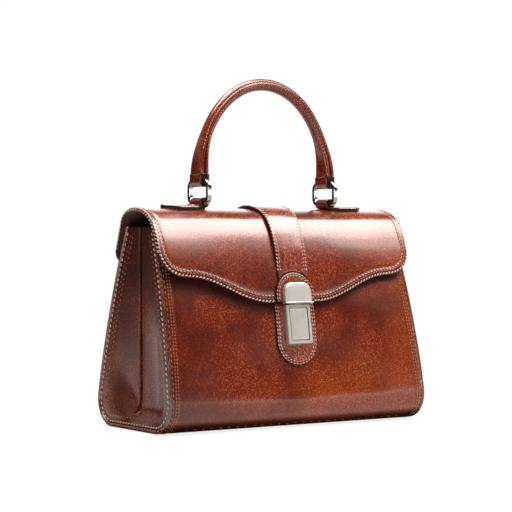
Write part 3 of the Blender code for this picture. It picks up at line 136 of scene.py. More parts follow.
class SatchelColours(bpy.types.PropertyGroup):
    leather: colour("Leather", "Main colour of the leather", srgb(101, 28, 7))
    leather_deep: colour("Deep Leather", "Darker clouds in the leather", srgb(63, 12, 3))
    leather_warm: colour("Warm Leather", "Lighter, rubbed clouds in the leather",
                         srgb(166, 77, 30))
    # Light pebbles of the grain: partly rubbed grain, partly painted glints where the grain would
    # catch the lamps
    rub_and_glint_speck: colour("Rubbed Grain", "Lightest points of the grain", srgb(210, 150, 108))
    edge: colour("Edge Paint", "Painted cut edges", srgb(26, 9, 6))
    suede: colour("Suede", "Lining of body and flap", srgb(64, 28, 19))
    thread: colour("Thread", "Waxed sewing thread", srgb(204, 172, 150))
    thread_dark: colour("Dark Thread", "Thread of the fine inner rows", srgb(166, 102, 74))
    nickel: colour("Nickel", "Satin nickel of lock and hasp", srgb(214, 207, 199))
    polish: colour("Polished Metal", "Rings", srgb(176, 172, 167))
    floor: colour("Floor", "Studio floor", srgb(240, 240, 240))


# Shader maths

class Signal:
    """A value in a material; arithmetic on it adds Math nodes."""

    def __init__(self, net, socket):
        self.net, self.socket = net, socket

    def apply(self, operation, *values):
        return self.net.node("ShaderNodeMath", {"operation": operation}, values)

    def __add__(self, other):
        return self.apply("ADD", self, other)

    def __sub__(self, other):
        return self.apply("SUBTRACT", self, other)

    def __rsub__(self, other):
        return self.apply("SUBTRACT", other, self)

    def __mul__(self, other):
        return self.apply("MULTIPLY", self, other)

    __radd__ = __add__
    __rmul__ = __mul__

    def ramp(self, low, high, start=0.0, end=1.0):
        """Smooth turn from start to end as the value goes from low to high."""
        return self.net.node("ShaderNodeMapRange", {"interpolation_type": "SMOOTHSTEP"},
                             (self, low, high, start, end))


class Net:
    """A node tree that is filled in code."""

    def __init__(self, tree):
        self.tree = tree
        tree.nodes.clear()

    def node(self, kind, settings=None, inputs=(), out=0):
        made = self.tree.nodes.new(kind)
        for key, value in (settings or {}).items():
            setattr(made, key, value)
        for key, value in inputs.items() if isinstance(inputs, dict) else enumerate(inputs):
            if isinstance(value, Signal):
                self.tree.links.new(value.socket, made.inputs[key])
            else:
                made.inputs[key].default_value = value
        return Signal(self, made.outputs[out])

    def place(self):
        return self.node("ShaderNodeTexCoord", out="Object")

    def noise(self, where, scale, detail=2.0, roughness=0.5):
        return self.node("ShaderNodeTexNoise", {}, {"Vector": where, "Scale": scale,
                                                    "Detail": detail, "Roughness": roughness})

    def cells(self, where, scale, feature="SMOOTH_F1", out=0):
        return self.node("ShaderNodeTexVoronoi", {"feature": feature},
                         {"Vector": where, "Scale": scale}, out)

    def vector(self, operation, *values, out=0):
        return self.node("ShaderNodeVectorMath", {"operation": operation}, values, out)

    def blend(self, first, second, share):
        def tone(value):
            return value if isinstance(value, Signal) else (*tuple(value)[:3], 1.0)
        return self.node("ShaderNodeMix", {"data_type": "RGBA"},
                         {0: share, 6: tone(first), 7: tone(second)}, out=2)

    def rays(self):
        """Whether a ray comes from the camera, from a glossy surface or through glass."""
        return (self.node("ShaderNodeLightPath", out="Is %s Ray" % kind)
                for kind in ("Camera", "Glossy", "Transmission"))

    def mark(self, name):
        """A number stored on the mesh's points."""
        return self.node("ShaderNodeAttribute", {"attribute_name": name}, out="Fac")

    def bump(self, height, strength, distance):
        return self.node("ShaderNodeBump", {}, {"Strength": strength, "Distance": distance,
                                                "Height": height}, out="Normal")

    def shader(self, **values):
        return self.node("ShaderNodeBsdfPrincipled", {},
                         {key.replace("_", " "): value for key, value in values.items()})

    def surface(self, **values):
        self.ends("ShaderNodeOutputMaterial", self.shader(**values))

    def ends(self, kind, shader):
        self.tree.links.new(shader.socket, self.tree.nodes.new(kind).inputs["Surface"])


def tinted(tone, share):
    """A colour made darker or lighter by a share."""
    return [share * value for value in tone]


def material(name, fill):
    """Material of that name, filled once by fill(net)."""
    found = bpy.data.materials.get(name)
    if found is None:
        found = bpy.data.materials.new(name)
        found.use_nodes = True
        fill(Net(found.node_tree))
    return found


# The share after the name makes each piece's copy of the leather lighter or darker by how lit that
# piece looks: painted light and shade
def leather(look, sizes, name="glossy_leather", painted_light_share=1.0, binding=0.0, rubbed=1.0,
            gloss=1.0, relief=1.0, with_painted_shade=False, sheen=(0.88, 0.82)):
    """Glazed leather: cloudy colour, pebbled grain, darker creases and sewn margins."""
    def fill(net):
        where = net.place()
        clouds, drift = net.noise(where, 24.0, 3.0), net.noise(where, 7.0)
        pebbles = net.cells(where, 1.0 / sizes.grain)
        shades = net.cells(where, 1.0 / sizes.grain, "F1", "Color")
        pores = net.noise(where, 2.4 / sizes.grain)
        rim = net.mark("rim")
        deep, main, warm = (tinted(tone, painted_light_share) for tone in
                            (look.leather_deep, look.leather, look.leather_warm))
        base = net.blend(deep, main, clouds.ramp(0.30, 0.60))
        for tone, share in ((warm, drift.ramp(0.46, 0.74, 0.0, 0.36)),
                            (deep, shades.ramp(0.15, 0.50, 0.5, 0.0)),
                            # Lighter pebbles: partly rubbed grain, partly painted glints; the light
                            # specks gather in the lighter clouds
                            (warm, shades.ramp(0.62, 0.80, 0.0, 0.5 * rubbed)),
                            (look.rub_and_glint_speck, shades.ramp(0.70, 0.80, 0.0, 0.4 * rubbed)
                             * clouds.ramp(0.38, 0.62)),
                            (deep, pebbles.ramp(0.40, 0.75, 0.0, 0.5)),
                            (look.edge, rim.ramp(0.0002, 0.0014, 0.75, 0.0))):
            base = net.blend(base, tone, share)
        if binding:
            base = net.blend(deep, base, rim.ramp(binding * 0.9, binding * 1.1, 0.5, 1.0))
        raised = net.cells(where, 0.8 / sizes.grain)
        normal = net.bump(raised * -1.0 + pores * 0.6 + clouds * 0.8, 0.5, 0.00024 * relief)
        rough = clouds.ramp(0.3, 0.7, 0.20, 0.14) + pores * 0.06
        glazed = net.shader(Base_Color=base, Roughness=rough, Normal=normal,
                            Specular_IOR_Level=gloss, Specular_Tint=(1.0, *sheen, 1.0),
                            Coat_Weight=max(1.4 * gloss - 0.8, 0.0), Coat_Roughness=0.12)
        # Painted shade: where the mesh's mark asks for it, a darker, duller copy of the leather is
        # mixed in for shadow and shade
        if with_painted_shade:
            dull = net.shader(Base_Color=net.blend(base, tinted(deep, 0.25), 0.85),
                              Roughness=pores * 0.1 + 0.5, Normal=normal, Specular_IOR_Level=0.1)
            painted_shade = net.mark("painted_shade") * clouds.ramp(0.3, 0.6, 0.92, 1.0)
            glazed = net.node("ShaderNodeMixShader", {}, (painted_shade, glazed, dull))
        net.ends("ShaderNodeOutputMaterial", glazed)
    return material(name, fill)


def handle_hide(look, sizes):
    """Smoother leather of the handle and of the eyes round the rings."""
    # A lighter copy of the leather: painted light on the handle and its eyes
    return leather(look, sizes, "handle_leather", painted_light_share=1.15, rubbed=0.4, gloss=0.65, relief=0.2)


def strap_hides(look, sizes):
    # A lighter copy of the leather: painted light on strap and tabs
    """Leather of strap and tabs, whose walls and undersides are painted."""
    paint = edge_paint(look, sizes)
    return [leather(look, sizes, "strap_leather", painted_light_share=1.25), paint, paint]


def lined_hides(hide, look, sizes):
    """A leather with painted edges and a suede underside."""
    return [hide, edge_paint(look, sizes), suede(look, sizes)]


def edge_paint(look, sizes):
    def fill(net):
        where = net.place()
        layers = net.noise(net.vector("MULTIPLY", where, (90.0, 90.0, 900.0)), 1.0)
        spots = net.noise(where, 300.0)
        base = net.blend(look.edge, look.leather_deep, layers.ramp(0.4, 0.75, 0.0, 0.7))
        normal = net.bump(layers + spots * 0.6, 0.25, 0.0002)
        net.surface(Base_Color=base, Roughness=spots.ramp(0.3, 0.7, 0.26, 0.42), Normal=normal,
                    Specular_IOR_Level=0.15)
    return material("painted_edge", fill)


def suede(look, sizes):
    def fill(net):
        where = net.place()
        nap = net.noise(where, 1500.0, 3.0, 0.7)
        strokes = net.noise(net.vector("MULTIPLY", where, (60.0, 60.0, 18.0)), 1.0, 3.0)
        base = net.blend(tinted(look.suede, 0.72), look.suede, strokes.ramp(0.35, 0.68))
        base = net.blend(base, tinted(look.suede, 1.25), nap.ramp(0.5, 0.8, 0.0, 0.5))
        net.surface(Base_Color=base, Roughness=nap.ramp(0.3, 0.7, 0.86, 0.97),
                    Normal=net.bump(nap, 0.5, 0.0003), Sheen_Weight=0.05, Sheen_Roughness=0.5)
    return material("suede_lining", fill)


def thread(tone, name="waxed_thread"):
    def fill(net):
        where = net.place()
        twist = net.node("ShaderNodeTexWave", {"bands_direction": "DIAGONAL"},
                         {"Vector": where, "Scale": 420.0, "Distortion": 2.0})
        wax = net.noise(where, 500.0)
        base = net.blend(tinted(tone, 0.6), tone, twist.ramp(0.1, 0.6))
        net.surface(Base_Color=base, Roughness=wax.ramp(0.3, 0.7, 0.38, 0.6),
                    Normal=net.bump(twist, 0.5, 0.00015))
    return material(name, fill)


def metal(name, tone, rough, brushed=(1.0, 1.0, 1.0)):
    """Plated metal with fine brushing or polishing marks and a little tarnish."""
    def fill(net):
        where = net.place()
        marks = net.noise(net.vector("MULTIPLY", where, brushed), 2600.0)
        dull = net.noise(where, 90.0, 3.0)
        base = net.blend(tone, tinted(tone, 0.80), dull.ramp(0.45, 0.8, 0.0, 0.6))
        net.surface(Base_Color=base, Metallic=1.0,
                    Roughness=marks.ramp(0.25, 0.75, rough * 0.9, rough * 1.15),
                    Normal=net.bump(marks, 0.05, 0.00004))
    return material(name, fill)


# Grids of points

def smooth(value, low=0.0, high=1.0):
    share = np.clip((np.asarray(value, float) - low) / (high - low), 0.0, 1.0)
    return share * share * (3 - 2 * share)


def mixed(first, second, share):
    return first + (second - first) * share


def joined(*parts):
    """Points from arrays or numbers for each of their coordinates."""
    return np.stack(np.broadcast_arrays(*parts), -1)


def unit(vectors):
    """The same directions with length one."""
    return vectors / np.maximum(np.linalg.norm(vectors, axis=-1, keepdims=True), 1e-9)


def curve(share, start, pull, push, end):
    """Place on a curve from start to end, drawn towards pull and then push."""
    rest = 1 - share
    return (start * rest ** 3 + pull * 3 * rest ** 2 * share + push * 3 * rest * share ** 2
            + end * share ** 3)


ENDS = ((-1, "left"), (1, "right"))
EDGE_STEPS = (0.0, 0.0003, 0.0007, 0.0012, 0.0020, 0.0030, 0.0042)


def run(low, high, step, at_low=EDGE_STEPS, at_high=EDGE_STEPS):
    """Places from low to high, close together at the two ends."""
    first = [low + place for place in at_low]
    last = [high - place for place in at_high[::-1]]
    count = max(int(round((last[0] - first[-1]) / step)), 1)
    middle = [mixed(first[-1], last[0], i / count) for i in range(1, count)]
    return np.array(first + middle + last)


def spread(step, half, extra=()):
    """Shares from -1 to 1 of a half width, close together at both edges."""
    ends = [place / half for place in EDGE_STEPS + extra]
    return run(-1.0, 1.0, step, ends, ends)


def border(grid):
    """Points round a grid's edge."""
    return np.concatenate([grid[0], grid[1:, -1], grid[-1, -2::-1], grid[-2:0:-1, 0]])


def rim_distance(across, along):
    """Distance of each point of a flat grid from the grid's edge."""
    grid = joined(across, along)
    start = border(grid)
    span = np.roll(start, -1, axis=0) - start
    points = grid.reshape(-1, 1, 2)
    long2 = np.maximum((span ** 2).sum(-1), 1e-14)
    best = np.empty(len(points))
    for i in range(0, len(points), 2000):
        offset = points[i:i + 2000] - start
        share = np.clip((offset * span).sum(-1) / long2, 0.0, 1.0)
        gap = offset - share[..., None] * span
        best[i:i + 2000] = np.sqrt((gap ** 2).sum(-1)).min(1)
    return best.reshape(grid.shape[:2])


def rounded(rim, thickness, radius):
    """Height of a piece's upper face above its underside, falling at its edge."""
    inside = np.clip(radius - rim, 0.0, radius)
    return thickness - radius + np.sqrt(np.maximum(radius ** 2 - inside ** 2, 0.0))


def groove(rim, at, width, depth):
    """Crease along a piece's edge, at a distance from it."""
    return -depth * np.exp(-((rim - at) / width) ** 2)


def lengths(points):
    """Length along a path at each of its points."""
    return np.concatenate([[0.0], np.cumsum(np.linalg.norm(np.diff(points, axis=0), axis=1))])


class Line:
    """Curve across the bag in (y, z), measured along its length, with its outward side."""

    def __init__(self, points, zero=0):
        self.points = np.array(points, float)
        self.along = lengths(self.points)
        self.along -= self.along[zero]
        turn = unit(np.gradient(self.points, self.along, axis=0))
        self.out = joined(turn[:, 1], -turn[:, 0])

    def at(self, along, outset=0.0):
        parts = [np.interp(along, self.along, column)
                 for column in (*self.points.T, *self.out.T)]
        return parts[0] + parts[2] * outset, parts[1] + parts[3] * outset


# Meshes

def quads(index):
    corners = (index[:-1, :-1], index[:-1, 1:], index[1:, 1:], index[1:, :-1])
    return np.stack(corners, -1).reshape(-1, 4)


def make_object(name, points, faces, materials, slots=None, marks=None, sharp=0.9):
    mesh = bpy.data.meshes.new(name)
    mesh.from_pydata(np.asarray(points).tolist(), [], [list(face) for face in faces])
    for item in materials:
        mesh.materials.append(item)
    if slots is not None:
        mesh.polygons.foreach_set("material_index", np.asarray(slots, np.int32))
    for key, values in (marks or {}).items():
        layer = mesh.attributes.new(key, "FLOAT", "POINT")
        layer.data.foreach_set("value", np.asarray(values, np.float32))
    bm = bmesh.new()
    bm.from_mesh(mesh)
    bmesh.ops.recalc_face_normals(bm, faces=bm.faces)
    bm.to_mesh(mesh)
    bm.free()
    mesh.shade_smooth()
    mesh.set_sharp_from_angle(angle=sharp)
    obj = bpy.data.objects.new(name, mesh)
    bpy.context.scene.collection.objects.link(obj)
    return obj


FACE, PAINT, UNDERSIDE = 0, 1, 2
WALL_RINGS = 2


def slab(name, outer, inner, rim, materials, edge_width=0.0006, bulge=0.0002, marks=None):
    """Closed piece between two grids: upper face, painted wall, underside."""
    count = rim.size
    index = np.arange(count).reshape(rim.shape)
    points, rims = [outer.reshape(-1, 3), inner.reshape(-1, 3)], [rim.ravel(), rim.ravel()]
    faces = [quads(index), quads(index + count)[:, ::-1]]
    slots = [np.where(rim.ravel()[faces[0]].max(1) <= edge_width, PAINT, FACE),
             np.full(len(faces[1]), UNDERSIDE)]
    top, under = border(outer), border(inner)
    beside = np.concatenate([outer[1], outer[1:, -2], outer[-2, -2::-1], outer[-2:0:-1, 1]])
    away = unit(top - beside)
    loops = [border(index)]
    size = len(top)
    for i in range(WALL_RINGS):
        share = (i + 1) / (WALL_RINGS + 1)
        points.append(mixed(top, under, share) + away * bulge * math.sin(math.pi * share))
        rims.append(np.zeros(size))
        loops.append(2 * count + i * size + np.arange(size))
    loops.append(loops[0] + count)
    for upper, lower in zip(loops, loops[1:]):
        faces.append(joined(upper, np.roll(upper, -1), np.roll(lower, -1), lower))
        slots.append(np.full(size, PAINT))
    layers = {"rim": np.concatenate(rims)}
    for key, values in (marks or {}).items():
        layers[key] = np.zeros(len(layers["rim"]))
        layers[key][:count] = values.reshape(-1)
    return make_object(name, np.concatenate(points), np.concatenate(faces), materials,
                       np.concatenate(slots), layers)


def tube_points(path, section, up):
    """Rings of a section (n, 2) along a path, the section's first axis near up."""
    turn, up = unit(np.gradient(path, axis=0)), np.asarray(up, float)
    first = unit(up - turn * (turn @ up)[:, None])
    second = np.cross(turn, first)
    return (path[:, None] + first[:, None] * section[None, :, :1]
            + second[:, None] * section[None, :, 1:])


def ring_rows(rows, sides):
    """Numbers of the points of rings one after another, each ring's first point also its last."""
    index = np.arange(rows * sides).reshape(rows, sides)
    return np.concatenate([index, index[:, :1]], 1)


def tube_faces(rows, sides, closed=False):
    """Faces of a skin through rings, whose two ends are joined or closed by one face each."""
    across = ring_rows(rows, sides)
    if closed:
        return quads(np.concatenate([across, across[:1]])).tolist()
    return quads(across).tolist() + [across[0, -2::-1].tolist(), across[-1, :-1].tolist()]


def tube(name, rings, materials, closed=False, sharp=0.9):
    count, sides = rings.shape[:2]
    return make_object(name, rings.reshape(-1, 3), tube_faces(count, sides, closed), materials,
                       marks={"rim": np.ones(count * sides)}, sharp=sharp)


def circle(radius, sides):
    angle = 2 * math.pi * np.arange(sides) / sides
    return radius * joined(np.cos(angle), np.sin(angle))


# A stitch's rings: place along it and width, as shares of its length and thickness
STITCH_RINGS = ((-0.5, 0.25), (-0.42, 0.75), (-0.22, 1.0), (0.22, 1.0), (0.42, 0.75), (0.5, 0.25))
STITCH_SIDES, STITCH_SINK, STITCH_LIFT, LOOK_AHEAD = 6, 1.1, 0.0001, 0.0008


def row(face, lift=STITCH_LIFT):
    """Row of stitches on a surface, face(lift): its points, and the way out of the surface."""
    low = face(lift)
    return low, face(lift + 0.001) - low


def facing(points, way):
    """Row of stitches that all face one way."""
    return points, np.tile(way, (len(points), 1))


def stitches(name, rows, look, sizes, body, pitch=None, long=None, slant=0.0, radius=None,
             dark=False):
    """Rows of stitches in one mesh. A row is (points, outward directions)."""
    pitch, long = pitch or sizes.stitch_pitch, long or sizes.stitch_length
    radius = radius or sizes.thread_radius
    shape = np.array([(place * long, wide * y,
                       wide * z - STITCH_SINK * radius * abs(2 * place) ** 3)
                      for place, wide in STITCH_RINGS for y, z in circle(radius, STITCH_SIDES)])
    template = tube_faces(len(STITCH_RINGS), STITCH_SIDES)
    points, faces = [], []
    for path, outward in rows:
        along = lengths(path)

        def on(values, where):
            return np.array([np.interp(where, along, column) for column in values.T])
        count = max(int(along[-1] / pitch), 1)
        for place in (np.arange(count) + 0.5) * along[-1] / count:
            ahead = unit(on(path, min(place + LOOK_AHEAD, along[-1]))
                         - on(path, max(place - LOOK_AHEAD, 0)))
            out = on(outward, place)
            out = unit(out - ahead * (out @ ahead))
            forward = ahead * math.cos(slant) + np.cross(out, ahead) * math.sin(slant)
            beside = np.cross(out, forward)
            base = len(points) * len(shape)
            points.append(on(path, place) + shape[:, :1] * forward + shape[:, 1:2] * beside
                          + shape[:, 2:] * out)
            faces += [[corner + base for corner in face] for face in template]
    finish = thread(look.thread_dark, "dark_thread") if dark else thread(look.thread)
    obj = make_object(name, np.concatenate(points), faces, [finish])
    if body:
        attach(obj, body)
    return obj


# Body: its outline seen from the end

def half_length(z):
    """Half the bag's length at a height, shorter towards the mouth."""
    return mixed(BASE_LENGTH, MOUTH_LENGTH, np.asarray(z) / MOUTH_HEIGHT) / 2


LEAN = math.atan2((BODY_DEPTH - MOUTH_DEPTH) / 2 - 4 * SIDE_BULGE, MOUTH_HEIGHT - CORNER_RADIUS)
SHOULDER = CORNER_RADIUS * (1 + math.sin(LEAN))
FLAT_HALF_DEPTH = BODY_DEPTH / 2 - CORNER_RADIUS * math.cos(LEAN)
BASE_STEPS, CORNER_STEPS, WALL_STEP = 8, 14, 0.004


def wall_share(z):
    return (np.asarray(z, float) - SHOULDER) / (MOUTH_HEIGHT - SHOULDER)


def wall_depth(z):
    share = wall_share(z)
    return mixed(BODY_DEPTH, MOUTH_DEPTH, share) / 2 + 4 * SIDE_BULGE * share * (1 - share)


def wall_slope(z):
    drop = (BODY_DEPTH - MOUTH_DEPTH) / 2 - 4 * SIDE_BULGE * (1 - 2 * wall_share(z))
    return drop / (MOUTH_HEIGHT - SHOULDER)


def half_section(inset=0.0):
    """Half outline (y, z) from the middle of the base up to the mouth."""
    radius = CORNER_RADIUS - inset
    angle = np.linspace(-math.pi / 2, LEAN, CORNER_STEPS + 1)
    z = np.linspace(SHOULDER, MOUTH_HEIGHT, int((MOUTH_HEIGHT - SHOULDER) / WALL_STEP) + 1)[1:]
    slope = wall_slope(z)
    away = np.hypot(1, slope)
    return np.concatenate([
        joined(FLAT_HALF_DEPTH * np.arange(BASE_STEPS) / BASE_STEPS, inset),
        joined(FLAT_HALF_DEPTH + radius * np.cos(angle), CORNER_RADIUS + radius * np.sin(angle)),
        joined(wall_depth(z) - inset / away, z - inset * slope / away)])


def body_line(inset=0.0):
    """Front mouth, down, under the base and up to the back mouth."""
    half = half_section(inset)
    front = half[::-1] * (-1, 1)
    return Line(np.concatenate([front, half[1:]]))


PANEL_INSET, GUSSET_INSET = 0.0031, 0.0013
GUSSET_EDGE = half_section(0.0038)[BASE_STEPS:]


def front_dip(x, z):
    """How far the front sinks in at its middle."""
    across = np.cos(math.pi * np.clip(x / DIP_LENGTH, -0.5, 0.5)) ** 2
    up = np.sin(math.pi * np.clip(z / DIP_HEIGHT, 0.0, 1.0)) ** 2
    return DIP_DEPTH * across * up


def front_face(x, z, outset):
    """Point in front of the front wall."""
    depth = wall_depth(z) - front_dip(x, z) + outset * np.hypot(1, wall_slope(z))
    return joined(x, -depth, z)


# Flap: its outline seen from the end

def flap_front_line(drop):
    """Top of the flap in front of the wall, at a depth below the mouth."""
    share = drop / TIP_DROP
    gap = mixed(FLAP_MOUTH_GAP, FLAP_TIP_GAP, share)
    gap += FLAP_BOW * math.sin(math.pi * min(share, 1.0) ** FLAP_BOW_SKEW)
    z = MOUTH_HEIGHT - drop
    return (-(wall_depth(z) + FLAP_STACK + gap), z)


def crown_line(share):
    """Top of the flap over the mouth, from back to front."""
    back = Vector((MOUTH_DEPTH / 2 + CLEARANCE + FLAP_STACK, MOUTH_HEIGHT))
    front = Vector(flap_front_line(0.0))
    half = (back.x - front.x) / 2
    back_lift = Vector((-CROWN_BACK[0] * half, CROWN_BACK[1] * CROWN_HEIGHT))
    front_lift = Vector((CROWN_FRONT[0] * half, CROWN_FRONT[1] * CROWN_HEIGHT))
    return tuple(curve(share, back, back + back_lift, front + front_lift, front))


def band_line(drop, outset=CLEARANCE + FLAP_STACK):
    """Outside of the flap's band behind the back wall."""
    z = MOUTH_HEIGHT - drop
    return (wall_depth(z) + outset * math.hypot(1, wall_slope(z)), z)


BAND_POINTS, CROWN_STEPS, FRONT_POINTS = 24, 60, 40


def flap_profile():
    band = [band_line(drop) for drop in np.linspace(BAND_REACH, MOUTH_SKIP, BAND_POINTS)]
    crown = [crown_line(i / CROWN_STEPS) for i in range(CROWN_STEPS + 1)]
    front = [flap_front_line(drop)
             for drop in np.linspace(MOUTH_SKIP, FRONT_REACH, FRONT_POINTS)]
    return Line(band + crown + front, zero=BAND_POINTS)


FLAP_LINE = flap_profile()
FRONT_START = FLAP_LINE.along[BAND_POINTS + CROWN_STEPS]


def flap_along(drop):
    """Length along the flap at a depth below the mouth, in front."""
    front = FLAP_LINE.along >= FRONT_START - 1e-9
    return np.interp(drop, MOUTH_HEIGHT - FLAP_LINE.points[front, 1], FLAP_LINE.along[front])


def band_along(drop):
    back = FLAP_LINE.along <= 0
    return np.interp(-np.asarray(drop), FLAP_LINE.points[back, 1] - MOUTH_HEIGHT,
                     FLAP_LINE.along[back])


def flap_edge_drop(x):
    """How far below the mouth the flap's wavy front edge hangs."""
    x = np.abs(x)
    start = FLAP_LENGTH / 2 - FLAP_CORNER
    corner = SIDE_DROP - FLAP_CORNER + np.sqrt(np.maximum(FLAP_CORNER ** 2 - (x - start) ** 2, 0))
    share = np.clip((x - TIP_LENGTH / 2) / WAVE_LENGTH, 0.0, 1.0)
    wave = mixed(TIP_DROP, SIDE_DROP, (1 - np.cos(math.pi * share)) / 2)
    return np.where(x > start, corner, wave)


def ripple(x, along, sizes):
    """Slow waves that hand-worked leather keeps."""
    wave = (np.sin(71 * x + 1.3) * np.sin(53 * along + 0.4) + 0.6 * np.sin(118 * x + 40 * along)
            + 0.5 * np.sin(31 * x - 97 * along + 2.1))
    return sizes.ripple * wave * smooth(along, FRONT_START * 0.3, FRONT_START * 1.1)


def flap_face(x, along, outset, sizes):
    y, z = FLAP_LINE.at(along, outset + ripple(x, along, sizes))
    return joined(x, y, z)


def tab_arc(x, width):
    """How far a tab's round end falls back at a place across it."""
    radius = width / 2
    return radius - np.sqrt(np.maximum(radius ** 2 - x ** 2, 0.0))


def hinge_blend(obj):
    """Bakes a piece's place into its mesh."""
    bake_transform(obj)


# Pieces

def body_face(x, along, line, sizes):
    """How far the wrapped panel's face stands out, and how far the front sinks in under it."""
    y, z = line.at(along)
    seam = np.clip(half_length(z) - PANEL_INSET - np.abs(x), 0, None)
    wave = (np.sin(47 * x + 0.7) * np.sin(39 * z + 1.0) + 0.6 * np.sin(83 * x - 31 * z)
            + 0.8 * np.sin(109 * x + 58 * z + 0.5) * np.sin(92 * z - 37 * x + 1.1))
    outset = sizes.ripple * wave * smooth(seam, 0.0, 0.03) * smooth(z, 0.01, 0.04)
    outset -= 0.0009 * (1 - smooth(seam, 0.0, 0.0030))
    outset += groove(seam, SEAM_GROOVE, 0.0009, 0.00025)
    dip = np.where(y < 0, front_dip(x, z), 0.0)
    return outset, dip


def build_body(sizes, look):
    line = body_line()
    total = line.along[-1]
    along = run(0.0, total, sizes.grid_step)
    reach = half_length(line.at(along)[1]) - PANEL_INSET
    shares = spread(sizes.grid_step / PANEL_HALF, PANEL_HALF,
                    (0.0058, 0.0072, SEAM_GROOVE, 0.0092, 0.0108))
    x, along = shares[None] * reach[:, None], along[:, None]
    outset, dip = body_face(x, along, line, sizes)
    rim = rim_distance(x, along)
    outset = outset - 0.0007 + rounded(rim, 0.0007, 0.0007)
    outer_y, outer_z = line.at(along, outset - dip)
    inner_y, inner_z = line.at(along, -WALL_STACK - dip)
    lip = smooth(np.minimum(along, total - along), 0.0, 0.0012)
    inner_y = mixed(mixed(outer_y, inner_y, 0.75), inner_y, lip)
    # Painted shadow under the flap and just below its edge, reaching lower at the left, and painted
    # shade along the foot of the bag: there the leather turns darker and dull
    edge = MOUTH_HEIGHT - flap_edge_drop(np.clip(x, -PANEL_HALF, PANEL_HALF))
    reach = mixed(0.021, 0.010, smooth(x, -0.11, 0.02))
    painted_shade = np.where(outer_y < 0, smooth((outer_z - edge) / reach, -1.0, -0.4), 0.0)
    painted_shade = np.maximum(painted_shade, 0.85 * (1 - smooth(outer_z, 0.003, 0.012)))
    hide = leather(look, sizes, rubbed=0.38, gloss=0.7, relief=0.8, with_painted_shade=True,
                   sheen=(0.72, 0.62))
    obj = slab("body_wrap", joined(x, outer_y, outer_z),
               joined(x, inner_y, inner_z), rim, lined_hides(hide, look, sizes),
               marks={"painted_shade": painted_shade})
    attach(obj, "bag")
    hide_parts("front_panel", "base_panel", "back_panel", "wall_board", "wall_lining")
    places = np.linspace(LINE_ENDS, total - LINE_ENDS, 300)
    edge = half_length(line.at(places)[1]) - PANEL_INSET

    def on_body(x, along, dipped=1.0):
        outset, dip = body_face(x, along, line, sizes)
        return row(lambda lift: joined(x, *line.at(along, outset - dipped * dip + lift)))
    for name, insets, settings in (
            ("seam_stitches", (0.0010,), dict(pitch=0.0048, long=0.0030, slant=0.12)),
            ("panel_stitches", (0.0034, 0.0058), dict(pitch=0.0029, long=0.0016))):
        rows = [on_body(side * (edge - inset), places) for inset in insets for side in (-1, 1)]
        stitches(name, rows, look, sizes, "bag", radius=0.00034, dark=True, **settings)
    across = np.linspace(-0.115, 0.115, 60)
    rows = [on_body(across, np.interp(corner * -0.0032, *sorted_foot(line, corner)), 0.0)
            for corner in (1, -1)]
    stitches("base_stitches", rows, look, sizes, "bag", pitch=0.0085, long=0.0030, dark=True)


def sorted_foot(line, corner):
    """Heights and lengths along the outline at its front (1) or back (-1) lower corner."""
    low = (line.points[:, 1] < CORNER_RADIUS) & (corner * line.points[:, 0] < -FLAT_HALF_DEPTH)
    heights, along = -corner * line.points[low, 1], line.along[low]
    order = np.argsort(heights)
    return heights[order], along[order]


def gusset_face(y, z, sizes):
    """Half length of the bag at the gusset: a soft fold and a pleat, with a trough at each side."""
    edge = np.interp(z, GUSSET_EDGE[:, 1], GUSSET_EDGE[:, 0])
    span = np.maximum(edge - 0.004, CLEARANCE)
    # The fold grows inwards towards the foot, and its front side sinks in more
    middle = 1 - np.sqrt(np.minimum((y / span) ** 2 + 0.012, 1.0))
    upward = np.clip((z - 0.032) / (MOUTH_HEIGHT - 0.032), 0.0, 1.0)
    rise = smooth(z, 0.003, 0.019 + 0.056 * np.clip(y / span, 0.0, 1.0))
    share = np.clip(np.abs(y) / span, 0.0, 1.0)
    trough = mixed(0.0036, 0.0002, smooth(z + 0.3 * y, 0.020, 0.115))
    trough *= np.sin(math.pi * share) ** 2 * np.where(y < 0, 1.0, 0.4)
    fold = (mixed(0.0085, 0.0012, upward) * middle + trough) * rise
    # The pleat in the middle, and a fine crease at each side of it
    offset = np.abs(y)
    mouth = mixed(0.0030, 0.0018, upward)
    pleat = 0.0032 * (1 - smooth(offset - mouth, -0.0006, 0.0006))
    pleat -= 0.0008 * np.exp(-((offset - mouth - 0.0011) / 0.0006) ** 2)
    crease = 0.0004 * np.exp(-((offset - mixed(0.0130, 0.0085, upward)) / 0.0006) ** 2)
    crease *= smooth(z, 0.05, 0.09)
    slump = 0.15 * sizes.sag * np.sin(80 * y + 43 * z) * np.sin(61 * z - 25 * y + 0.6)
    drawn = fold + pleat * smooth(z, 0.0136, 0.0156) - crease - slump
    return half_length(z) - GUSSET_INSET - drawn


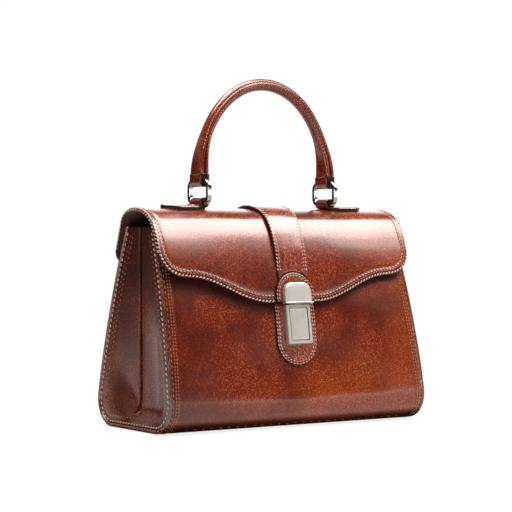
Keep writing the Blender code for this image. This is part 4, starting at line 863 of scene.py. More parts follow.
def build_gussets(sizes, look):
    fine = np.array([0.0, 0.0007, 0.0012, 0.0015, 0.0018, 0.0021, 0.0024, 0.0027, 0.0030, 0.0033,
                     0.0037, 0.0042, 0.0048, 0.0056, 0.0066, 0.0078])
    outer_places = run(0.0, 1.0, 0.055, (0.0,), (0.0, 0.008, 0.02, 0.035, 0.055, 0.08, 0.12))[1:]
    y = np.array([np.concatenate([fine, mixed(fine[-1], edge, outer_places)])
                  for edge in GUSSET_EDGE[:, 0]])
    y = np.concatenate([-y[:, :0:-1], y], 1)
    z = GUSSET_EDGE[:, 1:]
    rim = rim_distance(y, z)
    x = gusset_face(y, z, sizes) + groove(rim, 0.0040, 0.0007, 0.0003)
    x -= 0.0005 - rounded(rim, 0.0005, 0.0005)
    # Painted shade: the gusset is a darker copy of the leather, and its upper part, under the flap,
    # turns darker and dull
    painted_shade = 0.7 * smooth(z + 0.2 * y, 0.085, 0.140)
    hide = leather(look, sizes, "gusset_leather", painted_light_share=0.6, rubbed=0.5, gloss=0.7, with_painted_shade=True,
                   sheen=(0.66, 0.56))
    for side, end in ENDS:
        obj = slab("gusset_leather_" + end, joined(side * x, y, z),
                   joined(side * (x - GUSSET_THICK), y, z), rim,
                   lined_hides(hide, look, sizes), marks={"painted_shade": painted_shade})
        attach(obj, "bag")
        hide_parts("gusset_" + end, "gusset_lining_" + end)
        for name, insets, settings in (
                ("gusset_stitches_", (0.0050,), dict(long=0.0034, slant=0.3, radius=0.00058)),
                ("fold_stitches_", (0.0100, 0.0132), dict(long=0.0016, radius=0.00036,
                                                          dark=True))):
            rows = []
            for inset in insets:
                ring = body_line(inset)
                places = np.linspace(LINE_ENDS, ring.along[-1] - LINE_ENDS, 300)
                if inset > 0.012:
                    places = places[places > FOLD_START * ring.along[-1]]
                across, high = ring.at(places)
                reach = gusset_face(across, high, sizes) + STITCH_LIFT
                rows.append(facing(joined(side * reach, across, high), (side, 0, 0.04)))
            stitches(name + end, rows, look, sizes, "bag", pitch=0.0046, **settings)


def build_piping(sizes, look):
    path = body_line(sizes.piping_radius).points
    for side, end in ENDS:
        x = side * (half_length(path[:, 1]) - sizes.piping_radius)
        rings = tube_points(joined(x, path[:, 0], path[:, 1]),
                            circle(sizes.piping_radius, 14), (1, 0, 0))
        # A darker copy of the leather: painted shade on the piping
        obj = tube("piping_" + end, rings,
                   [leather(look, sizes, "piping_leather", painted_light_share=0.7)])
        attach(obj, "bag")
        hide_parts("welt_" + end)


def build_pocket(sizes, look):
    x, z = np.meshgrid(run(-POCKET_HALF, POCKET_HALF, sizes.grid_step * 2),
                       run(POCKET_LOW, POCKET_HIGH, sizes.grid_step * 2))
    rim = rim_distance(x, z)

    def face(x, z, inset):
        return joined(x, wall_depth(z) - inset * np.hypot(1, wall_slope(z)), z)
    slack = 0.0006 * np.cos(math.pi * x / POCKET_HALF / 2) * smooth(z, 0.07, POCKET_HIGH)
    obj = slab("slip_pocket",
               face(x, z, WALL_STACK + 0.0005 + rounded(rim, 0.0009, 0.0005) + slack),
               face(x, z, WALL_STACK + 0.0003), rim,
               lined_hides(suede(look, sizes), look, sizes), bulge=0.0001)
    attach(obj, "bag")
    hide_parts("inner_pocket")
    side, low = POCKET_HALF - POCKET_SEAM, POCKET_LOW + POCKET_SEAM
    high = POCKET_HIGH - POCKET_SEAM
    corners = [(-side, high), (-side, low), (side, low), (side, high)]
    path = np.concatenate([np.linspace(a, b, 30, endpoint=False)
                           for a, b in zip(corners, corners[1:])] + [corners[-1:]])
    points = face(path[:, 0], path[:, 1], WALL_STACK + 0.0015)
    stitches("pocket_stitches", [facing(points, (0, -1, 0))], look, sizes, "bag")


def flap_grid(sizes):
    """Places on the flap laid out flat: x across, and the length along its outline."""
    binding = sizes.binding_width
    steps = EDGE_STEPS + (binding - 0.0004, binding, binding + 0.0004, binding + 0.0016)
    x = run(-FLAP_LENGTH / 2, FLAP_LENGTH / 2, sizes.grid_step, steps, steps)
    drop = flap_edge_drop(x)
    bottom = flap_along(drop)
    start = FLAP_LENGTH / 2 - BAND_CORNER
    over = np.clip(np.abs(x) - start, 0.0, BAND_CORNER)
    lift = BAND_CORNER - np.sqrt(np.maximum(BAND_CORNER ** 2 - over ** 2, 0.0))
    top = band_along(BAND_DROP - lift)
    slope = np.minimum(np.hypot(1, np.gradient(bottom, x)), STEEPEST_EDGE)
    shares = np.linspace(0, 1, int(FLAP_RUN / sizes.grid_step) + 1)[1:-1]
    first = top + np.array(EDGE_STEPS)[:, None]
    last = bottom - np.array(steps)[::-1, None] * slope
    along = np.concatenate([first, mixed(first[-1], last[0], shares[:, None]), last])
    return x, along


def build_flap(sizes, look):
    x, along = flap_grid(sizes)
    rim = rim_distance(x, along)
    outset = rounded(rim, FLAP_STACK, sizes.edge_round) - FLAP_STACK
    outset += groove(rim, 0.0026, 0.0007, 0.00025)
    outset += groove(rim, sizes.binding_width, 0.0007, 0.00035)
    # A lighter copy of the leather: painted light on the flap
    hide = leather(look, sizes, "flap_leather", 1.12, sizes.binding_width, rubbed=0.55,
                   gloss=0.9, relief=0.7)
    obj = slab("flap_skin", flap_face(x, along, outset, sizes),
               flap_face(x, along, -FLAP_STACK + 0.0002, sizes), rim,
               lined_hides(hide, look, sizes))
    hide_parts("flap", "flap_lining", "flap_back")
    hinge_blend(obj)
    for name, rows, settings in (
            ("side", side_rows(sizes), dict(pitch=0.0037, long=0.0031, slant=0.75,
                                            radius=0.00055)),
            ("edge", [edge_row(sizes, 0.0009)], dict(pitch=0.0034, long=0.0026, slant=0.6,
                                                     radius=0.00055)),
            ("middle", [edge_row(sizes, 0.0036)], dict(pitch=0.0032, long=0.0020,
                                                       radius=0.00036, dark=True)),
            ("inner", [edge_row(sizes, sizes.binding_width)], dict(pitch=0.0036, long=0.0025,
                                                                   slant=-0.25))):
        obj = stitches("flap_stitches_" + name, rows, look, sizes, None, **settings)
        hinge_blend(obj)


def side_rows(sizes):
    """Rows on the flap's two painted side edges, over the top from back to front."""
    along = np.linspace(band_along(0.020), flap_along(SIDE_DROP - 0.020), 120)
    return [facing(flap_face(side * (FLAP_LENGTH / 2 + 0.0002), along, -FLAP_STACK / 2, sizes),
                   (side, 0, 0)) for side in (-1, 1)]


def edge_row(sizes, inset):
    """Row of points on the flap at a distance inside its front edge, side to side."""
    corner, reach, radius = SIDE_DROP - FLAP_CORNER, FLAP_LENGTH / 2, FLAP_CORNER - inset
    drop = np.linspace(-FRONT_START - 0.025, corner, 90)
    angle = np.linspace(0, math.pi / 2, 14)[1:]
    place = np.linspace(FLAP_CORNER - reach + 0.002, 0, 70)
    behind, ahead = (flap_along(flap_edge_drop(place + step)) for step in (-0.0005, 0.0005))
    tilt = np.arctan2(ahead - behind, 0.001)
    x = np.concatenate([np.full(len(drop), inset - reach),
                        FLAP_CORNER - reach - radius * np.cos(angle),
                        place + inset * np.sin(tilt)])
    along = np.concatenate([np.where(drop < 0, FRONT_START + drop, flap_along(drop)),
                            flap_along(corner) + radius * np.sin(angle),
                            (ahead + behind) / 2 - inset * np.cos(tilt)])
    x, along = np.concatenate([x, -x[-2::-1]]), np.concatenate([along, along[-2::-1]])
    return row(lambda lift: flap_face(x, along, lift, sizes))


def strap_shape(along):
    """Half width and thickness of the strap at a place along it."""
    half = mixed(STRAP_TOP / 2, STRAP_FRONT / 2, smooth(along / FRONT_START, 0.5, 1.35))
    thin = smooth(along, flap_along(0.020), flap_along(STRAP_PARED))
    return half, mixed(STRAP_THICK, STRAP_END_THICK, thin)


def build_strap(sizes, look):
    bottom = band_along(BAND_DROP)
    shares = spread(0.12, STRAP_HALF)
    ends = flap_along(TIP_DROP - HASP_TAB_HEIGHT + tab_arc(shares * STRAP_FRONT / 2, HASP_TAB_WIDTH)
                      - CLEARANCE)
    lines = run(0.0, 1.0, 0.02, [step / 0.14 for step in EDGE_STEPS], (0.0, 0.004, 0.01))
    along = mixed(bottom, ends[None], lines[:, None])
    half, thick = strap_shape(along)
    x = shares[None] * half
    rim = rim_distance(x, along)
    crown = 0.0006 * (1 - (2 * x / STRAP_TOP) ** 2)
    outset = CLEARANCE + rounded(rim, thick, STRAP_ROUND) - 0.0006 + crown
    outset += groove(rim, 0.0024, 0.0006, 0.0003) + groove(rim, 0.0042, 0.0006, 0.0002)
    obj = slab("strap_leather", flap_face(x, along, outset, sizes),
               flap_face(x, along, CLEARANCE / 2, sizes), rim, strap_hides(look, sizes),
               edge_width=STRAP_ROUND, bulge=0.0007)
    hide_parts("centre_strap", "strap_back")
    hinge_blend(obj)
    places = np.linspace(bottom + 0.004, flap_along(STRAP_PARED), 120)
    half, thick = strap_shape(places)
    for name, inset, settings in (
            ("edge", 0.0010, dict(long=0.0024, slant=0.6, radius=0.0005)),
            ("inner", 0.0033, dict(long=0.0020))):
        rows = [row(lambda lift: flap_face(side * (half - inset), places, lift, sizes),
                    CLEARANCE + thick - 0.0005) for side in (-1, 1)]
        obj = stitches("strap_stitches_" + name, rows, look, sizes, None, pitch=0.0032,
                       **settings)
        hinge_blend(obj)


def round_columns(width):
    return width / 2 * np.sin(np.linspace(-math.pi / 2, math.pi / 2, 27))


def round_tab(name, face, across, shares, near, far, sizes, look):
    """Tab from its round end (near) to its straight one (far), on a surface."""
    place = mixed(near[None], far, shares[:, None])
    rim = rim_distance(across, place)
    outset = CLEARANCE + rounded(rim, TAB_THICK, 0.0012) + groove(rim, 0.0030, 0.0007, 0.0003)
    return slab(name, face(across, place, outset), face(across, place, CLEARANCE / 2), rim,
                strap_hides(look, sizes), edge_width=0.0009, bulge=0.0003)


def tab_stitches(name, width, straight, face, sizes, look, body, outward=None):
    """Two rows round a tab, over its edge and in its groove."""
    rows = []
    for inset, high in ((0.0010, TAB_THICK - 0.0001), (0.0031, TAB_THICK + 0.0001)):
        radius = width / 2 - inset
        angle = np.linspace(-0.5 * math.pi, 0.5 * math.pi, 50)
        side = width / 2 + np.linspace(straight, 0.0, 12)[:-1]
        across = np.concatenate([np.full(11, -radius), radius * np.sin(angle),
                                 np.full(11, radius)])
        down = np.concatenate([side, width / 2 - radius * np.cos(angle), side[::-1]])
        points, out = row(lambda lift: face(across, down, lift), CLEARANCE + high)
        rows.append(facing(points, outward) if outward else (points, out))
    stitches(name, rows, look, sizes, body, pitch=0.0032, long=0.0022, slant=0.4)


def build_hasp_tab(sizes, look):
    def face(x, along, lift):
        return flap_face(x, along, lift, sizes)
    x, start = round_columns(HASP_TAB_WIDTH), TIP_DROP - HASP_TAB_HEIGHT
    shares = run(0.0, 1.0, 0.07, (0.0, 0.012, 0.03, 0.055, 0.09, 0.13), (0.0, 0.02, 0.05))
    obj = round_tab("hasp_tab_leather", face, x, shares,
                    flap_along(start + tab_arc(x, HASP_TAB_WIDTH)),
                    flap_along(TIP_DROP) + 0.0004, sizes, look)
    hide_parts("hasp_tab")
    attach(obj, "flap")
    tab_stitches("hasp_tab_stitches", HASP_TAB_WIDTH, 0.0045,
                 lambda x, down, lift: face(x, down + flap_along(start), lift),
                 sizes, look, "flap")


def build_lock_tab(sizes, look):
    x = round_columns(LOCK_TAB_WIDTH)
    shares = run(0.0, 1.0, 0.05, (0.0, 0.006, 0.015, 0.028, 0.045, 0.065), (0.0, 0.01, 0.03))
    obj = round_tab("lock_tab_leather", front_face, x, shares,
                    LOCK_TAB_BOTTOM + tab_arc(x, LOCK_TAB_WIDTH), LOCK_TAB_TOP, sizes, look)
    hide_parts("front_lock_tab")
    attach(obj, "bag")
    tab_stitches("lock_tab_stitches", LOCK_TAB_WIDTH, 0.031,
                 lambda x, rise, lift: front_face(x, LOCK_TAB_BOTTOM + rise, lift),
                 sizes, look, "bag", outward=(0, -1, 0.16))


def handle_path(count):
    """Middle of the handle, from foot to foot over its arch."""
    share = np.linspace(0, 1, count)[:, None]
    top, foot = np.array((0.0, HANDLE_TOP)), np.array((RING_SPACING / 2, FOOT_HEIGHT))
    right = curve(share, top, np.array((ARCH_TOP * foot[0], HANDLE_TOP)),
                  np.array((ARCH_FOOT[0] * foot[0],
                            FOOT_HEIGHT + ARCH_FOOT[1] * (HANDLE_TOP - FOOT_HEIGHT))), foot)
    both = np.concatenate([right[:0:-1] * (-1, 1), right])
    return joined(both[:, 0], 0.0, both[:, 1])


def squarer(value, power):
    """Cosine or sine of a section that is squarer than a circle."""
    return np.sign(value) * np.abs(value) ** power


def handle_shape(angle, flare):
    """Section of the handle: out of the arch, and across it, with its sewn seams."""
    seam = np.minimum(np.abs(angle - math.pi / 2), np.abs(angle + math.pi / 2))
    seam = np.minimum(seam, np.abs(angle - 1.5 * math.pi))
    half_out = mixed(GRIP_RADIUS, FOOT_THICK / 2 + 0.0005, flare)
    half_across = mixed(GRIP_RADIUS, FOOT_WIDTH / 2 + 0.0015, flare)
    swell = 0.0006 * (np.exp(-(seam / 0.16) ** 2)
                      - np.exp(-((seam - HANDLE_SEAM) / 0.11) ** 2))
    slit = mixed(0.0008, 0.0050, flare) * np.exp(-(seam / mixed(0.06, 0.12, flare)) ** 2)
    power = mixed(1.0, 0.62, flare)
    cos, sin = np.cos(angle), np.sin(angle)
    return (squarer(cos, power) * half_out + cos * (swell - slit),
            squarer(sin, power) * half_across + sin * (swell - slit))


def build_handle(sizes, look):
    path, over = handle_path(90), np.array((0, 1.0, 0))
    turn = unit(np.gradient(path, axis=0))
    out_dir = joined(-turn[:, 2], 0.0, turn[:, 0])
    flare = 1 - smooth(path[:, 2], FOOT_HEIGHT, FOOT_HEIGHT + FLARE_HEIGHT)
    shrink = np.ones((len(path), 1))
    shrink[:3, 0] = shrink[:-4:-1, 0] = (0.86, 0.95, 0.99)

    def place(out, across):
        return path[:, None] + out_dir[:, None] * out[..., None] + over * across[..., None]
    out, across = handle_shape(2 * math.pi * np.arange(120)[None] / 120, flare[:, None])
    obj = tube("handle_leather", place(out * shrink, across * shrink),
               [handle_hide(look, sizes)], sharp=1.2)
    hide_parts("handle_grip", "handle_core")
    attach(obj, "handle")
    rows = []
    for angle in (-math.pi / 2 - HANDLE_SEAM, -math.pi / 2 + HANDLE_SEAM):
        points = place(*handle_shape(np.full((len(path), 1), angle), flare[:, None]))[:, 0]
        outward = out_dir * math.cos(angle) + over * math.sin(angle)
        high = points[:, 2] > FOOT_HEIGHT + 0.022
        rows += [(points[high] * way, outward[high] * way) for way in ((1, 1, 1), (1, -1, 1))]
    stitches("handle_stitches", rows, look, sizes, "handle", pitch=0.0032, long=0.0020,
             radius=0.0003)
    for side, end in ENDS:
        obj = eye("loop_leather_" + end, side * RING_SPACING / 2, UPPER_WIRE, 0.0050, look, sizes,
                  headed=True)
        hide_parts("handle_loop_" + end)
        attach(obj, "handle")


def eye(name, x, z, radius, look, sizes, headed=False):
    """Leather rolled round a ring's wire; a headed one closes in a flat head above it."""
    count, width, steps = 28, EYE_WIDTH / 2, (0.0, 0.0003, 0.0008, 0.0015)
    places = run(-width, width, 0.0035, steps, steps)
    rim = np.minimum(places + width, width - places)
    ring = circle(1.0, count)
    outline = radius * ring
    if headed:
        head = joined(np.clip(1.2 * outline[:, 0], -0.95 * radius, 0.95 * radius),
                      0.0042 + 0.0030 * ring[:, 1])
        outline = np.where(ring[:, 1:] > 0.3, head, outline)
    fall = EYE_ROUND - rounded(rim, EYE_ROUND, EYE_ROUND)
    outer = outline * (1 - fall / radius)[:, None, None]
    under = ring * (WIRE_RADIUS + EYE_PLAY)
    points = [joined(x + flat[..., 0], places[:, None], z + flat[..., 1]).reshape(-1, 3)
              for flat in (outer, under)]
    across, total = ring_rows(len(places), count), len(places) * count
    skin = quads(across)
    ends = [joined(line[:-1], line[1:], line[1:] + total, line[:-1] + total)
            for line in (across[0], across[-1])]
    slots = np.concatenate([np.full(2 * len(skin), FACE), np.full(2 * count, PAINT)])
    return make_object(name, np.concatenate(points),
                       np.concatenate([skin, skin[:, ::-1] + total] + ends),
                       [handle_hide(look, sizes), edge_paint(look, sizes)], slots,
                       {"rim": np.tile(np.repeat(rim, count), 2)})


def chape_half_width(along):
    """Half width of the ring's tab at a distance from the ring, out to its point."""
    half = mixed(EYE_WIDTH / 2, CHAPE_WIDTH / 2, smooth(along, 0.0025, 0.0085))
    return half * np.clip((CHAPE_LENGTH - along) / 0.0115, 0.0, 1.0) ** 0.75


def crown_height(y):
    """Height of the flap's top at a place across the bag."""
    points = FLAP_LINE.points[BAND_POINTS:BAND_POINTS + CROWN_STEPS + 1]
    return np.interp(y, points[::-1, 0], points[::-1, 1])


def build_ring_tabs(sizes, look):
    along = run(0.0, CHAPE_LENGTH - 0.0003, 0.0022, (0.0, 0.0006, 0.0015),
                (0.0, 0.0002, 0.0006, 0.0012, 0.002, 0.003))
    y = spread(0.15, CHAPE_HALF)[None] * chape_half_width(along)[:, None]
    reach = along[:, None]
    rim = rim_distance(reach, y)
    high = rounded(np.minimum(rim, 1.0), CHAPE_THICK, 0.0016) + 0.0004 * smooth(rim, 0.002, 0.009)
    high += groove(rim, 0.0022, 0.0005, 0.0003)

    def seat(y):
        return mixed(CHAPE_BASE, crown_height(y) + CLEARANCE, 0.6) - 0.0004
    for side, end in ENDS:
        x = side * (RING_SPACING / 2 + reach)
        obj = slab("ring_tab_leather_" + end, joined(x, y, seat(y) + high),
                   joined(x, y, crown_height(y) + CLEARANCE / 2), rim,
                   strap_hides(look, sizes), edge_width=0.0002, bulge=0.0003)
        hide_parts("ring_tab_" + end)
        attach(obj, "flap")
        obj = eye("ring_eye_leather_" + end, side * RING_SPACING / 2, LOWER_WIRE, 0.0047, look,
                  sizes)
        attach(obj, "flap")
        places = np.linspace(0.006, CHAPE_LENGTH - 0.0045, 40)
        rows = []
        for half in (-1, 1):
            across = half * (chape_half_width(places) - 0.0022)
            rows.append(facing(joined(side * (RING_SPACING / 2 + places), across,
                                      seat(across) + CHAPE_THICK), (0, 0, 1)))
        stitches("ring_tab_stitches_" + end, rows, look, sizes, "flap")


def rounded_box(half, high, low, high_radius, low_radius, steps):
    """Outline of a box with rounded corners, in steps per corner."""
    parts = []
    for quarter, (sign, end, radius) in enumerate((
            (1, high, high_radius), (-1, high, high_radius), (-1, low, low_radius),
            (1, low, low_radius))):
        angle = (quarter + np.arange(steps + 1) / steps) * math.pi / 2
        parts.append(joined(sign * (half - radius) + radius * np.cos(angle),
                            end - math.copysign(radius, end) + radius * np.sin(angle)))
    return np.concatenate(parts)


def build_rings(sizes, look):
    centre = (LOWER_WIRE + UPPER_WIRE) / 2
    path = rounded_box(RING_DEPTH / 2, RING_HEIGHT / 2, -RING_HEIGHT / 2, RING_CORNER,
                       RING_CORNER, 10)
    turn = unit(np.roll(path, -1, 0) - np.roll(path, 1, 0))
    out = joined(turn[:, 1], -turn[:, 0])
    wire = 0.97 * WIRE_RADIUS * squarer(circle(1.0, 32), 0.55)
    flat = path[:, None] + out[:, None] * wire[None, :, :1]
    for side, end in ENDS:
        rings = joined(side * RING_SPACING / 2 + wire[:, 1], flat[..., 0], flat[..., 1] + centre)
        obj = tube("ring_metal_" + end, rings,
                   [metal("polished_ring", look.polish, 0.10)], closed=True, sharp=0.6)
        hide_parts("ring_" + end)
        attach(obj, "ring_" + end)


def seated(points, seat):
    """Points of a lock or hasp, given upright round its seat, turned into place."""
    (x, y, z), tilt = seat
    cos, sin = math.cos(tilt), math.sin(tilt)
    return joined(points[..., 0] + x, points[..., 1] * cos - points[..., 2] * sin + y,
                  points[..., 1] * sin + points[..., 2] * cos + z)


def pressed(name, size, corners, low_share, profile, seat, shift, finish, body, node):
    """Plate with rounded corners, raised in front along a profile of insets and depths."""
    rings = []
    for inset, depth in profile:
        top, low = size[1] / 2 - inset, size[1] / 2 - inset * low_share
        x, z = rounded_box(size[0] / 2 - inset, top, -low,
                           *(max(corner - inset, LEAST_CORNER) for corner in corners), 8).T
        rings.append(joined(x, -depth, z + shift))
    obj = tube(name, seated(np.stack(rings), seat), [finish], sharp=0.6)
    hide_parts(node)
    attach(obj, body)


def leaf_spring(finish):
    """Bowed steel leaf behind the press plate, which on the real lock flattens as the plate goes
    in; here it keeps its bow.
    """
    share = np.linspace(0, 1, 33)[:, None]
    side = np.array((-1, 1, 1, -1)) * SPRING_WIDTH / 2
    layer = np.array((0, 0, 1, 1)) * SPRING_THICK
    depth = SPRING_BASE + SPRING_RISE * np.sin(math.pi * share) + layer
    rings = joined(side, -depth, (share - 0.5) * SPRING_LENGTH)
    obj = tube("lock_spring_leaf", seated(rings, (LOCK_SEAT, LOCK_TILT)), [finish], sharp=0.6)
    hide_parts("lock_spring")
    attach(obj, "bag")
    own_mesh(obj)


def dress_metal(sizes, look):
    """Finishes of the CAD's own metal pieces."""
    satin = metal("satin_nickel", look.nickel, 0.43, (1.0, 1.0, 0.15))
    steel = metal("plain_steel", srgb(140, 140, 142), 0.38)
    cap = [(0.0, 0.0), (0.0, 0.0032)]
    cap += [(0.0016 * (1 - math.cos(a)), 0.0032 + 0.0016 * math.sin(a))
            for a in np.linspace(0.1, 1.0, 8) * math.pi / 2]
    cap += [(0.0034, 0.0050), (0.0062, 0.0052)]
    pressed("hasp_cap_metal", (HASP_WIDTH, 0.0171), (0.0086, 0.0009), 0.12, cap,
            (HASP_SEAT, HASP_TILT), -0.0009, satin, "flap", "hasp_cap")
    pressed("hasp_lip_metal", (0.0296, 0.0013), (0.0006, 0.0006), 1.0,
            [(0.0, 0.0004), (0.0, 0.0052), (0.00015, 0.0056), (0.0004, 0.0057)],
            (HASP_SEAT, HASP_TILT), -0.0101, satin, "flap", "hasp_cap")
    plate = [(0.0, 0.0036), (0.0, 0.0047), (0.00015, 0.0050), (0.0004, 0.0051), (0.0015, 0.00512),
             (0.0016, 0.0050), (0.00185, 0.0050), (0.00195, 0.00512), (0.0030, 0.00518),
             (0.0050, 0.00525), (0.0085, 0.0053)]
    pressed("press_plate_metal", (LOCK_WIDTH - 0.0068, LOCK_HEIGHT - 0.0068), (0.0006, 0.0006),
            1.0, plate, (LOCK_SEAT, LOCK_TILT), 0.0, satin, "press", "lock_button")
    leaf_spring(steel)
    for name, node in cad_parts.items():
        if name == "lock_case":
            finish = satin
        elif name.startswith(("lock_", "hasp_")) and not name.endswith("_tab"):
            finish = steel
        else:
            continue
        node.data.materials.clear()
        node.data.materials.append(finish)


CAMERA_PLACE = (-0.8837, -1.3217, 0.1643)
CAMERA_TILT, CAMERA_PAN = math.radians(89.380), math.radians(-33.5255)
CAMERA_LENS, CAMERA_SENSOR = 1789 / 512 * 36, 36.0
FLOOR_REACH, FLOOR_DROP = 6, 0.0004
AHEAD, SIDEWAYS, UP = (0.556, 0.831, 0.0), (-0.556, 0.831, 0.0), (0.0, 0.0, 1.0)
STRIP_WAY, FRONT_WAY = (-0.83, -0.55, 0.0), (0.58, -0.81, 0.0)
FILL_LIGHT = 0.15
# Lamps: name, place, target, width, height, radiance, whether it lights, whether it is mirrored
LAMPS = (
    ("key_softbox", (0.62, -0.362, 1.002), (0.62, 0.028, 0.081), 1.0, 0.73, 9.5, False, True),
    ("key_side", (1.04, -0.793, 0.819), (1.04, -0.403, -0.102), 0.52, 0.16, 5.0, False, True),
    ("key_lamp", (0.48, -0.46, 0.99), (0.0, 0.0, 0.12), 0.34, 0.30, 43.0, True, False),
    ("top_softbox", (-0.15, 0.15, 1.35), (0.0, 0.0, 0.1), 1.1, 0.9, 11.0, True, True),
    ("left_softbox", (-1.25, 0.1, 0.40), (0.0, 0.0, 0.12), 0.45, 0.7, 0.5, True, True),
)


def lamp(name, place, target, wide, high, radiance, lights, mirrored):
    data = bpy.data.lights.new(name, "AREA")
    data.shape, data.size, data.size_y = "RECTANGLE", wide, high
    data.energy = radiance * math.pi * wide * high
    obj = bpy.data.objects.new(name, data)
    obj.location = place
    aim = Vector(target) - Vector(place)
    obj.rotation_euler = aim.to_track_quat("-Z", "Y").to_euler()
    obj.visible_camera = False
    obj.visible_diffuse, obj.visible_glossy = lights, mirrored
    bpy.context.scene.collection.objects.link(obj)


def floor_finish(look):
    """White floor that glows to white with distance; glossy rays see it glow brighter as a painted
    reflection, and see it dark round the bag's foot as a painted shadow.
    """
    def fill(net):
        where = net.place()
        dust = net.noise(where, 9.0)
        base = net.blend(look.floor, tinted(look.floor, 0.96), dust.ramp(0.4, 0.7))
        beside = net.vector("SUBTRACT", net.vector("ABSOLUTE", where),
                            (BASE_LENGTH / 2, FLAT_HALF_DEPTH, 0.0))
        away = net.vector("LENGTH", net.vector("MAXIMUM", beside, (0.0, 0.0, 0.0)), out="Value")
        seen, gloss, clear = net.rays()
        beyond = net.vector("DOT_PRODUCT", where, SIDEWAYS, out="Value")
        # Painted reflection and painted shadow: glow seen only by glossy rays, dark close round the
        # bag's foot
        glossy_glow = away.ramp(0.014, 0.030, 0.02, 2.0) * beyond.ramp(0.5, 1.3, 1.0, 0.0)
        plain = seen * away.ramp(0.1, 1.2, 0.82, 1.0) + clear
        black, white = (0.0, 0.0, 0.0), (1.0, 1.0, 1.0)
        net.surface(Base_Color=net.blend(base, black, plain + gloss), Roughness=1.0,
                    Specular_IOR_Level=0.0, Emission_Strength=1.0,
                    Emission_Color=net.blend(black, white, plain + gloss * glossy_glow))
    return material("floor", fill)


def fill_world(net):
    """White to the camera; glossy leather mirrors a dark room with a few bright panels."""
    where = net.node("ShaderNodeTexCoord", out="Generated")
    ahead, side, strip, front, height = (
        net.vector("DOT_PRODUCT", where, way, out="Value")
        for way in (AHEAD, SIDEWAYS, STRIP_WAY, FRONT_WAY, UP))
    seen, gloss, clear = net.rays()
    backdrop = 0.02 + ahead.ramp(0.72, 0.93, 0.0, 2.2)
    backdrop += front.ramp(0.25, 0.7, 0.0, 4.0) * height.ramp(0.0, 0.11, 1.0, 0.0)
    backdrop += side.ramp(0.4, 0.8, 0.0, 0.4) * height.ramp(0.15, 0.35)
    backdrop += strip.ramp(0.95, 0.985, 0.0, 6.0)
    strength = (FILL_LIGHT + (seen + clear) * (1.0 - FILL_LIGHT)
                + gloss * (backdrop - FILL_LIGHT))
    net.ends("ShaderNodeOutputWorld", net.node("ShaderNodeBackground", {}, {
        "Color": (1.0, 1.0, 1.0, 1.0), "Strength": strength}))


def build_stage(sizes, look):
    scene = bpy.context.scene
    scene.view_settings.view_transform = "Standard"
    data = bpy.data.cameras.new("camera")
    data.lens, data.sensor_width = CAMERA_LENS, CAMERA_SENSOR
    data.clip_start, data.clip_end = 0.05, 50.0
    camera = bpy.data.objects.new("camera", data)
    camera.location = CAMERA_PLACE
    camera.rotation_euler = (CAMERA_TILT, 0.0, CAMERA_PAN)
    scene.collection.objects.link(camera)
    scene.camera = camera
    x, y = np.meshgrid(*[np.linspace(-FLOOR_REACH, FLOOR_REACH, 9)] * 2)
    points = joined(x, y, -FLOOR_DROP).reshape(-1, 3)
    floor = make_object("studio_floor", points, quads(np.arange(81).reshape(9, 9)),
                        [floor_finish(look)])
    for polygon in floor.data.polygons:
        if polygon.normal.z < 0:
            polygon.flip()
    scene.world = bpy.data.worlds.new("studio")
    scene.world.use_nodes = True
    fill_world(Net(scene.world.node_tree))
    for settings in LAMPS:
        lamp(*settings)


# Operators and panel

def build(context, piece):
    """Runs one piece's function with the sizes and colours set in the panel."""
    piece(context.scene.satchel_sizes, context.scene.satchel_colours)
    return {"FINISHED"}


class SATCHEL_OT_stage(bpy.types.Operator):
    """Floor, lights and camera"""
    bl_idname = "satchel.stage"
    bl_label = "Studio"

    def execute(self, context):
        return build(context, build_stage)


class SATCHEL_OT_body(bpy.types.Operator):
    """Front, base and back in one wrapped shell"""
    bl_idname = "satchel.body"
    bl_label = "Body"

    def execute(self, context):
        return build(context, build_body)


class SATCHEL_OT_gussets(bpy.types.Operator):
    """Two pleated ends with their stitches"""
    bl_idname = "satchel.gussets"
    bl_label = "Gussets"

    def execute(self, context):
        return build(context, build_gussets)


class SATCHEL_OT_piping(bpy.types.Operator):
    """Bead along each end seam"""
    bl_idname = "satchel.piping"
    bl_label = "Piping"

    def execute(self, context):
        return build(context, build_piping)


class SATCHEL_OT_pocket(bpy.types.Operator):
    """Slip pocket on the lining"""
    bl_idname = "satchel.pocket"
    bl_label = "Pocket"

    def execute(self, context):
        return build(context, build_pocket)


class SATCHEL_OT_flap(bpy.types.Operator):
    """Flap with its bound and stitched edge"""
    bl_idname = "satchel.flap"
    bl_label = "Flap"

    def execute(self, context):
        return build(context, build_flap)


class SATCHEL_OT_strap(bpy.types.Operator):
    """Strap over the middle of the flap"""
    bl_idname = "satchel.strap"
    bl_label = "Strap"

    def execute(self, context):
        return build(context, build_strap)


class SATCHEL_OT_hasp_tab(bpy.types.Operator):
    """Leather under the hasp"""
    bl_idname = "satchel.hasp_tab"
    bl_label = "Hasp Tab"

    def execute(self, context):
        return build(context, build_hasp_tab)


class SATCHEL_OT_lock_tab(bpy.types.Operator):
    """Leather under the lock"""
    bl_idname = "satchel.lock_tab"
    bl_label = "Lock Tab"

    def execute(self, context):
        return build(context, build_lock_tab)


class SATCHEL_OT_ring_tabs(bpy.types.Operator):
    """Tabs that hold the rings"""
    bl_idname = "satchel.ring_tabs"
    bl_label = "Ring Tabs"

    def execute(self, context):
        return build(context, build_ring_tabs)


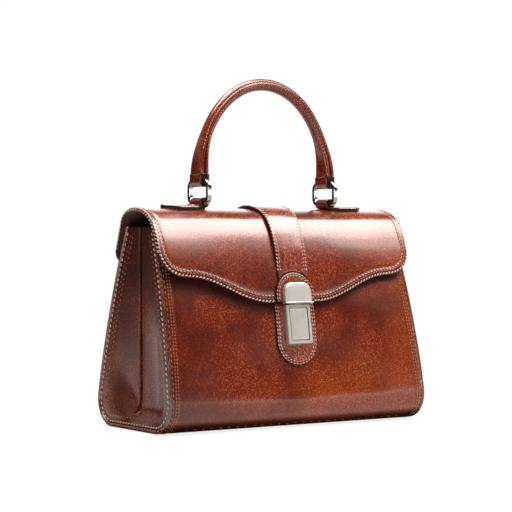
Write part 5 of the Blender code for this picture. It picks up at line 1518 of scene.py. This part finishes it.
class SATCHEL_OT_rings(bpy.types.Operator):
    """Two bevelled metal rings"""
    bl_idname = "satchel.rings"
    bl_label = "Rings"

    def execute(self, context):
        return build(context, build_rings)


class SATCHEL_OT_handle(bpy.types.Operator):
    """Handle with its seams and loops"""
    bl_idname = "satchel.handle"
    bl_label = "Handle"

    def execute(self, context):
        return build(context, build_handle)


class SATCHEL_OT_metal(bpy.types.Operator):
    """Finishes of lock, hasp and rivets"""
    bl_idname = "satchel.metal"
    bl_label = "Metalwork"

    def execute(self, context):
        return build(context, dress_metal)


OPERATORS = [SATCHEL_OT_stage, SATCHEL_OT_body, SATCHEL_OT_gussets, SATCHEL_OT_piping,
             SATCHEL_OT_pocket, SATCHEL_OT_flap, SATCHEL_OT_strap, SATCHEL_OT_hasp_tab,
             SATCHEL_OT_lock_tab, SATCHEL_OT_ring_tabs, SATCHEL_OT_rings, SATCHEL_OT_handle,
             SATCHEL_OT_metal]


class SATCHEL_PT_panel(bpy.types.Panel):
    """Lists the satchel's pieces, sizes and colours."""
    bl_label = "Satchel"
    bl_idname = "SATCHEL_PT_panel"
    bl_space_type = "VIEW_3D"
    bl_region_type = "UI"
    bl_category = "Satchel"

    def draw(self, context):
        for item in OPERATORS:
            self.layout.operator(item.bl_idname)
        for group in (context.scene.satchel_sizes, context.scene.satchel_colours):
            for key in group.__annotations__:
                self.layout.prop(group, key)


CLASSES = [SatchelSizes, SatchelColours, *OPERATORS, SATCHEL_PT_panel]


def register():
    for item in CLASSES:
        bpy.utils.register_class(item)
    bpy.types.Scene.satchel_sizes = bpy.props.PointerProperty(type=SatchelSizes)
    bpy.types.Scene.satchel_colours = bpy.props.PointerProperty(type=SatchelColours)


def unregister():
    del bpy.types.Scene.satchel_sizes
    del bpy.types.Scene.satchel_colours
    for item in reversed(CLASSES):
        bpy.utils.unregister_class(item)


def main():
    register()
    for item in OPERATORS:
        group, name = item.bl_idname.split(".")
        getattr(getattr(bpy.ops, group), name)()
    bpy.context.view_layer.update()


if __name__ == "__main__":
    main()
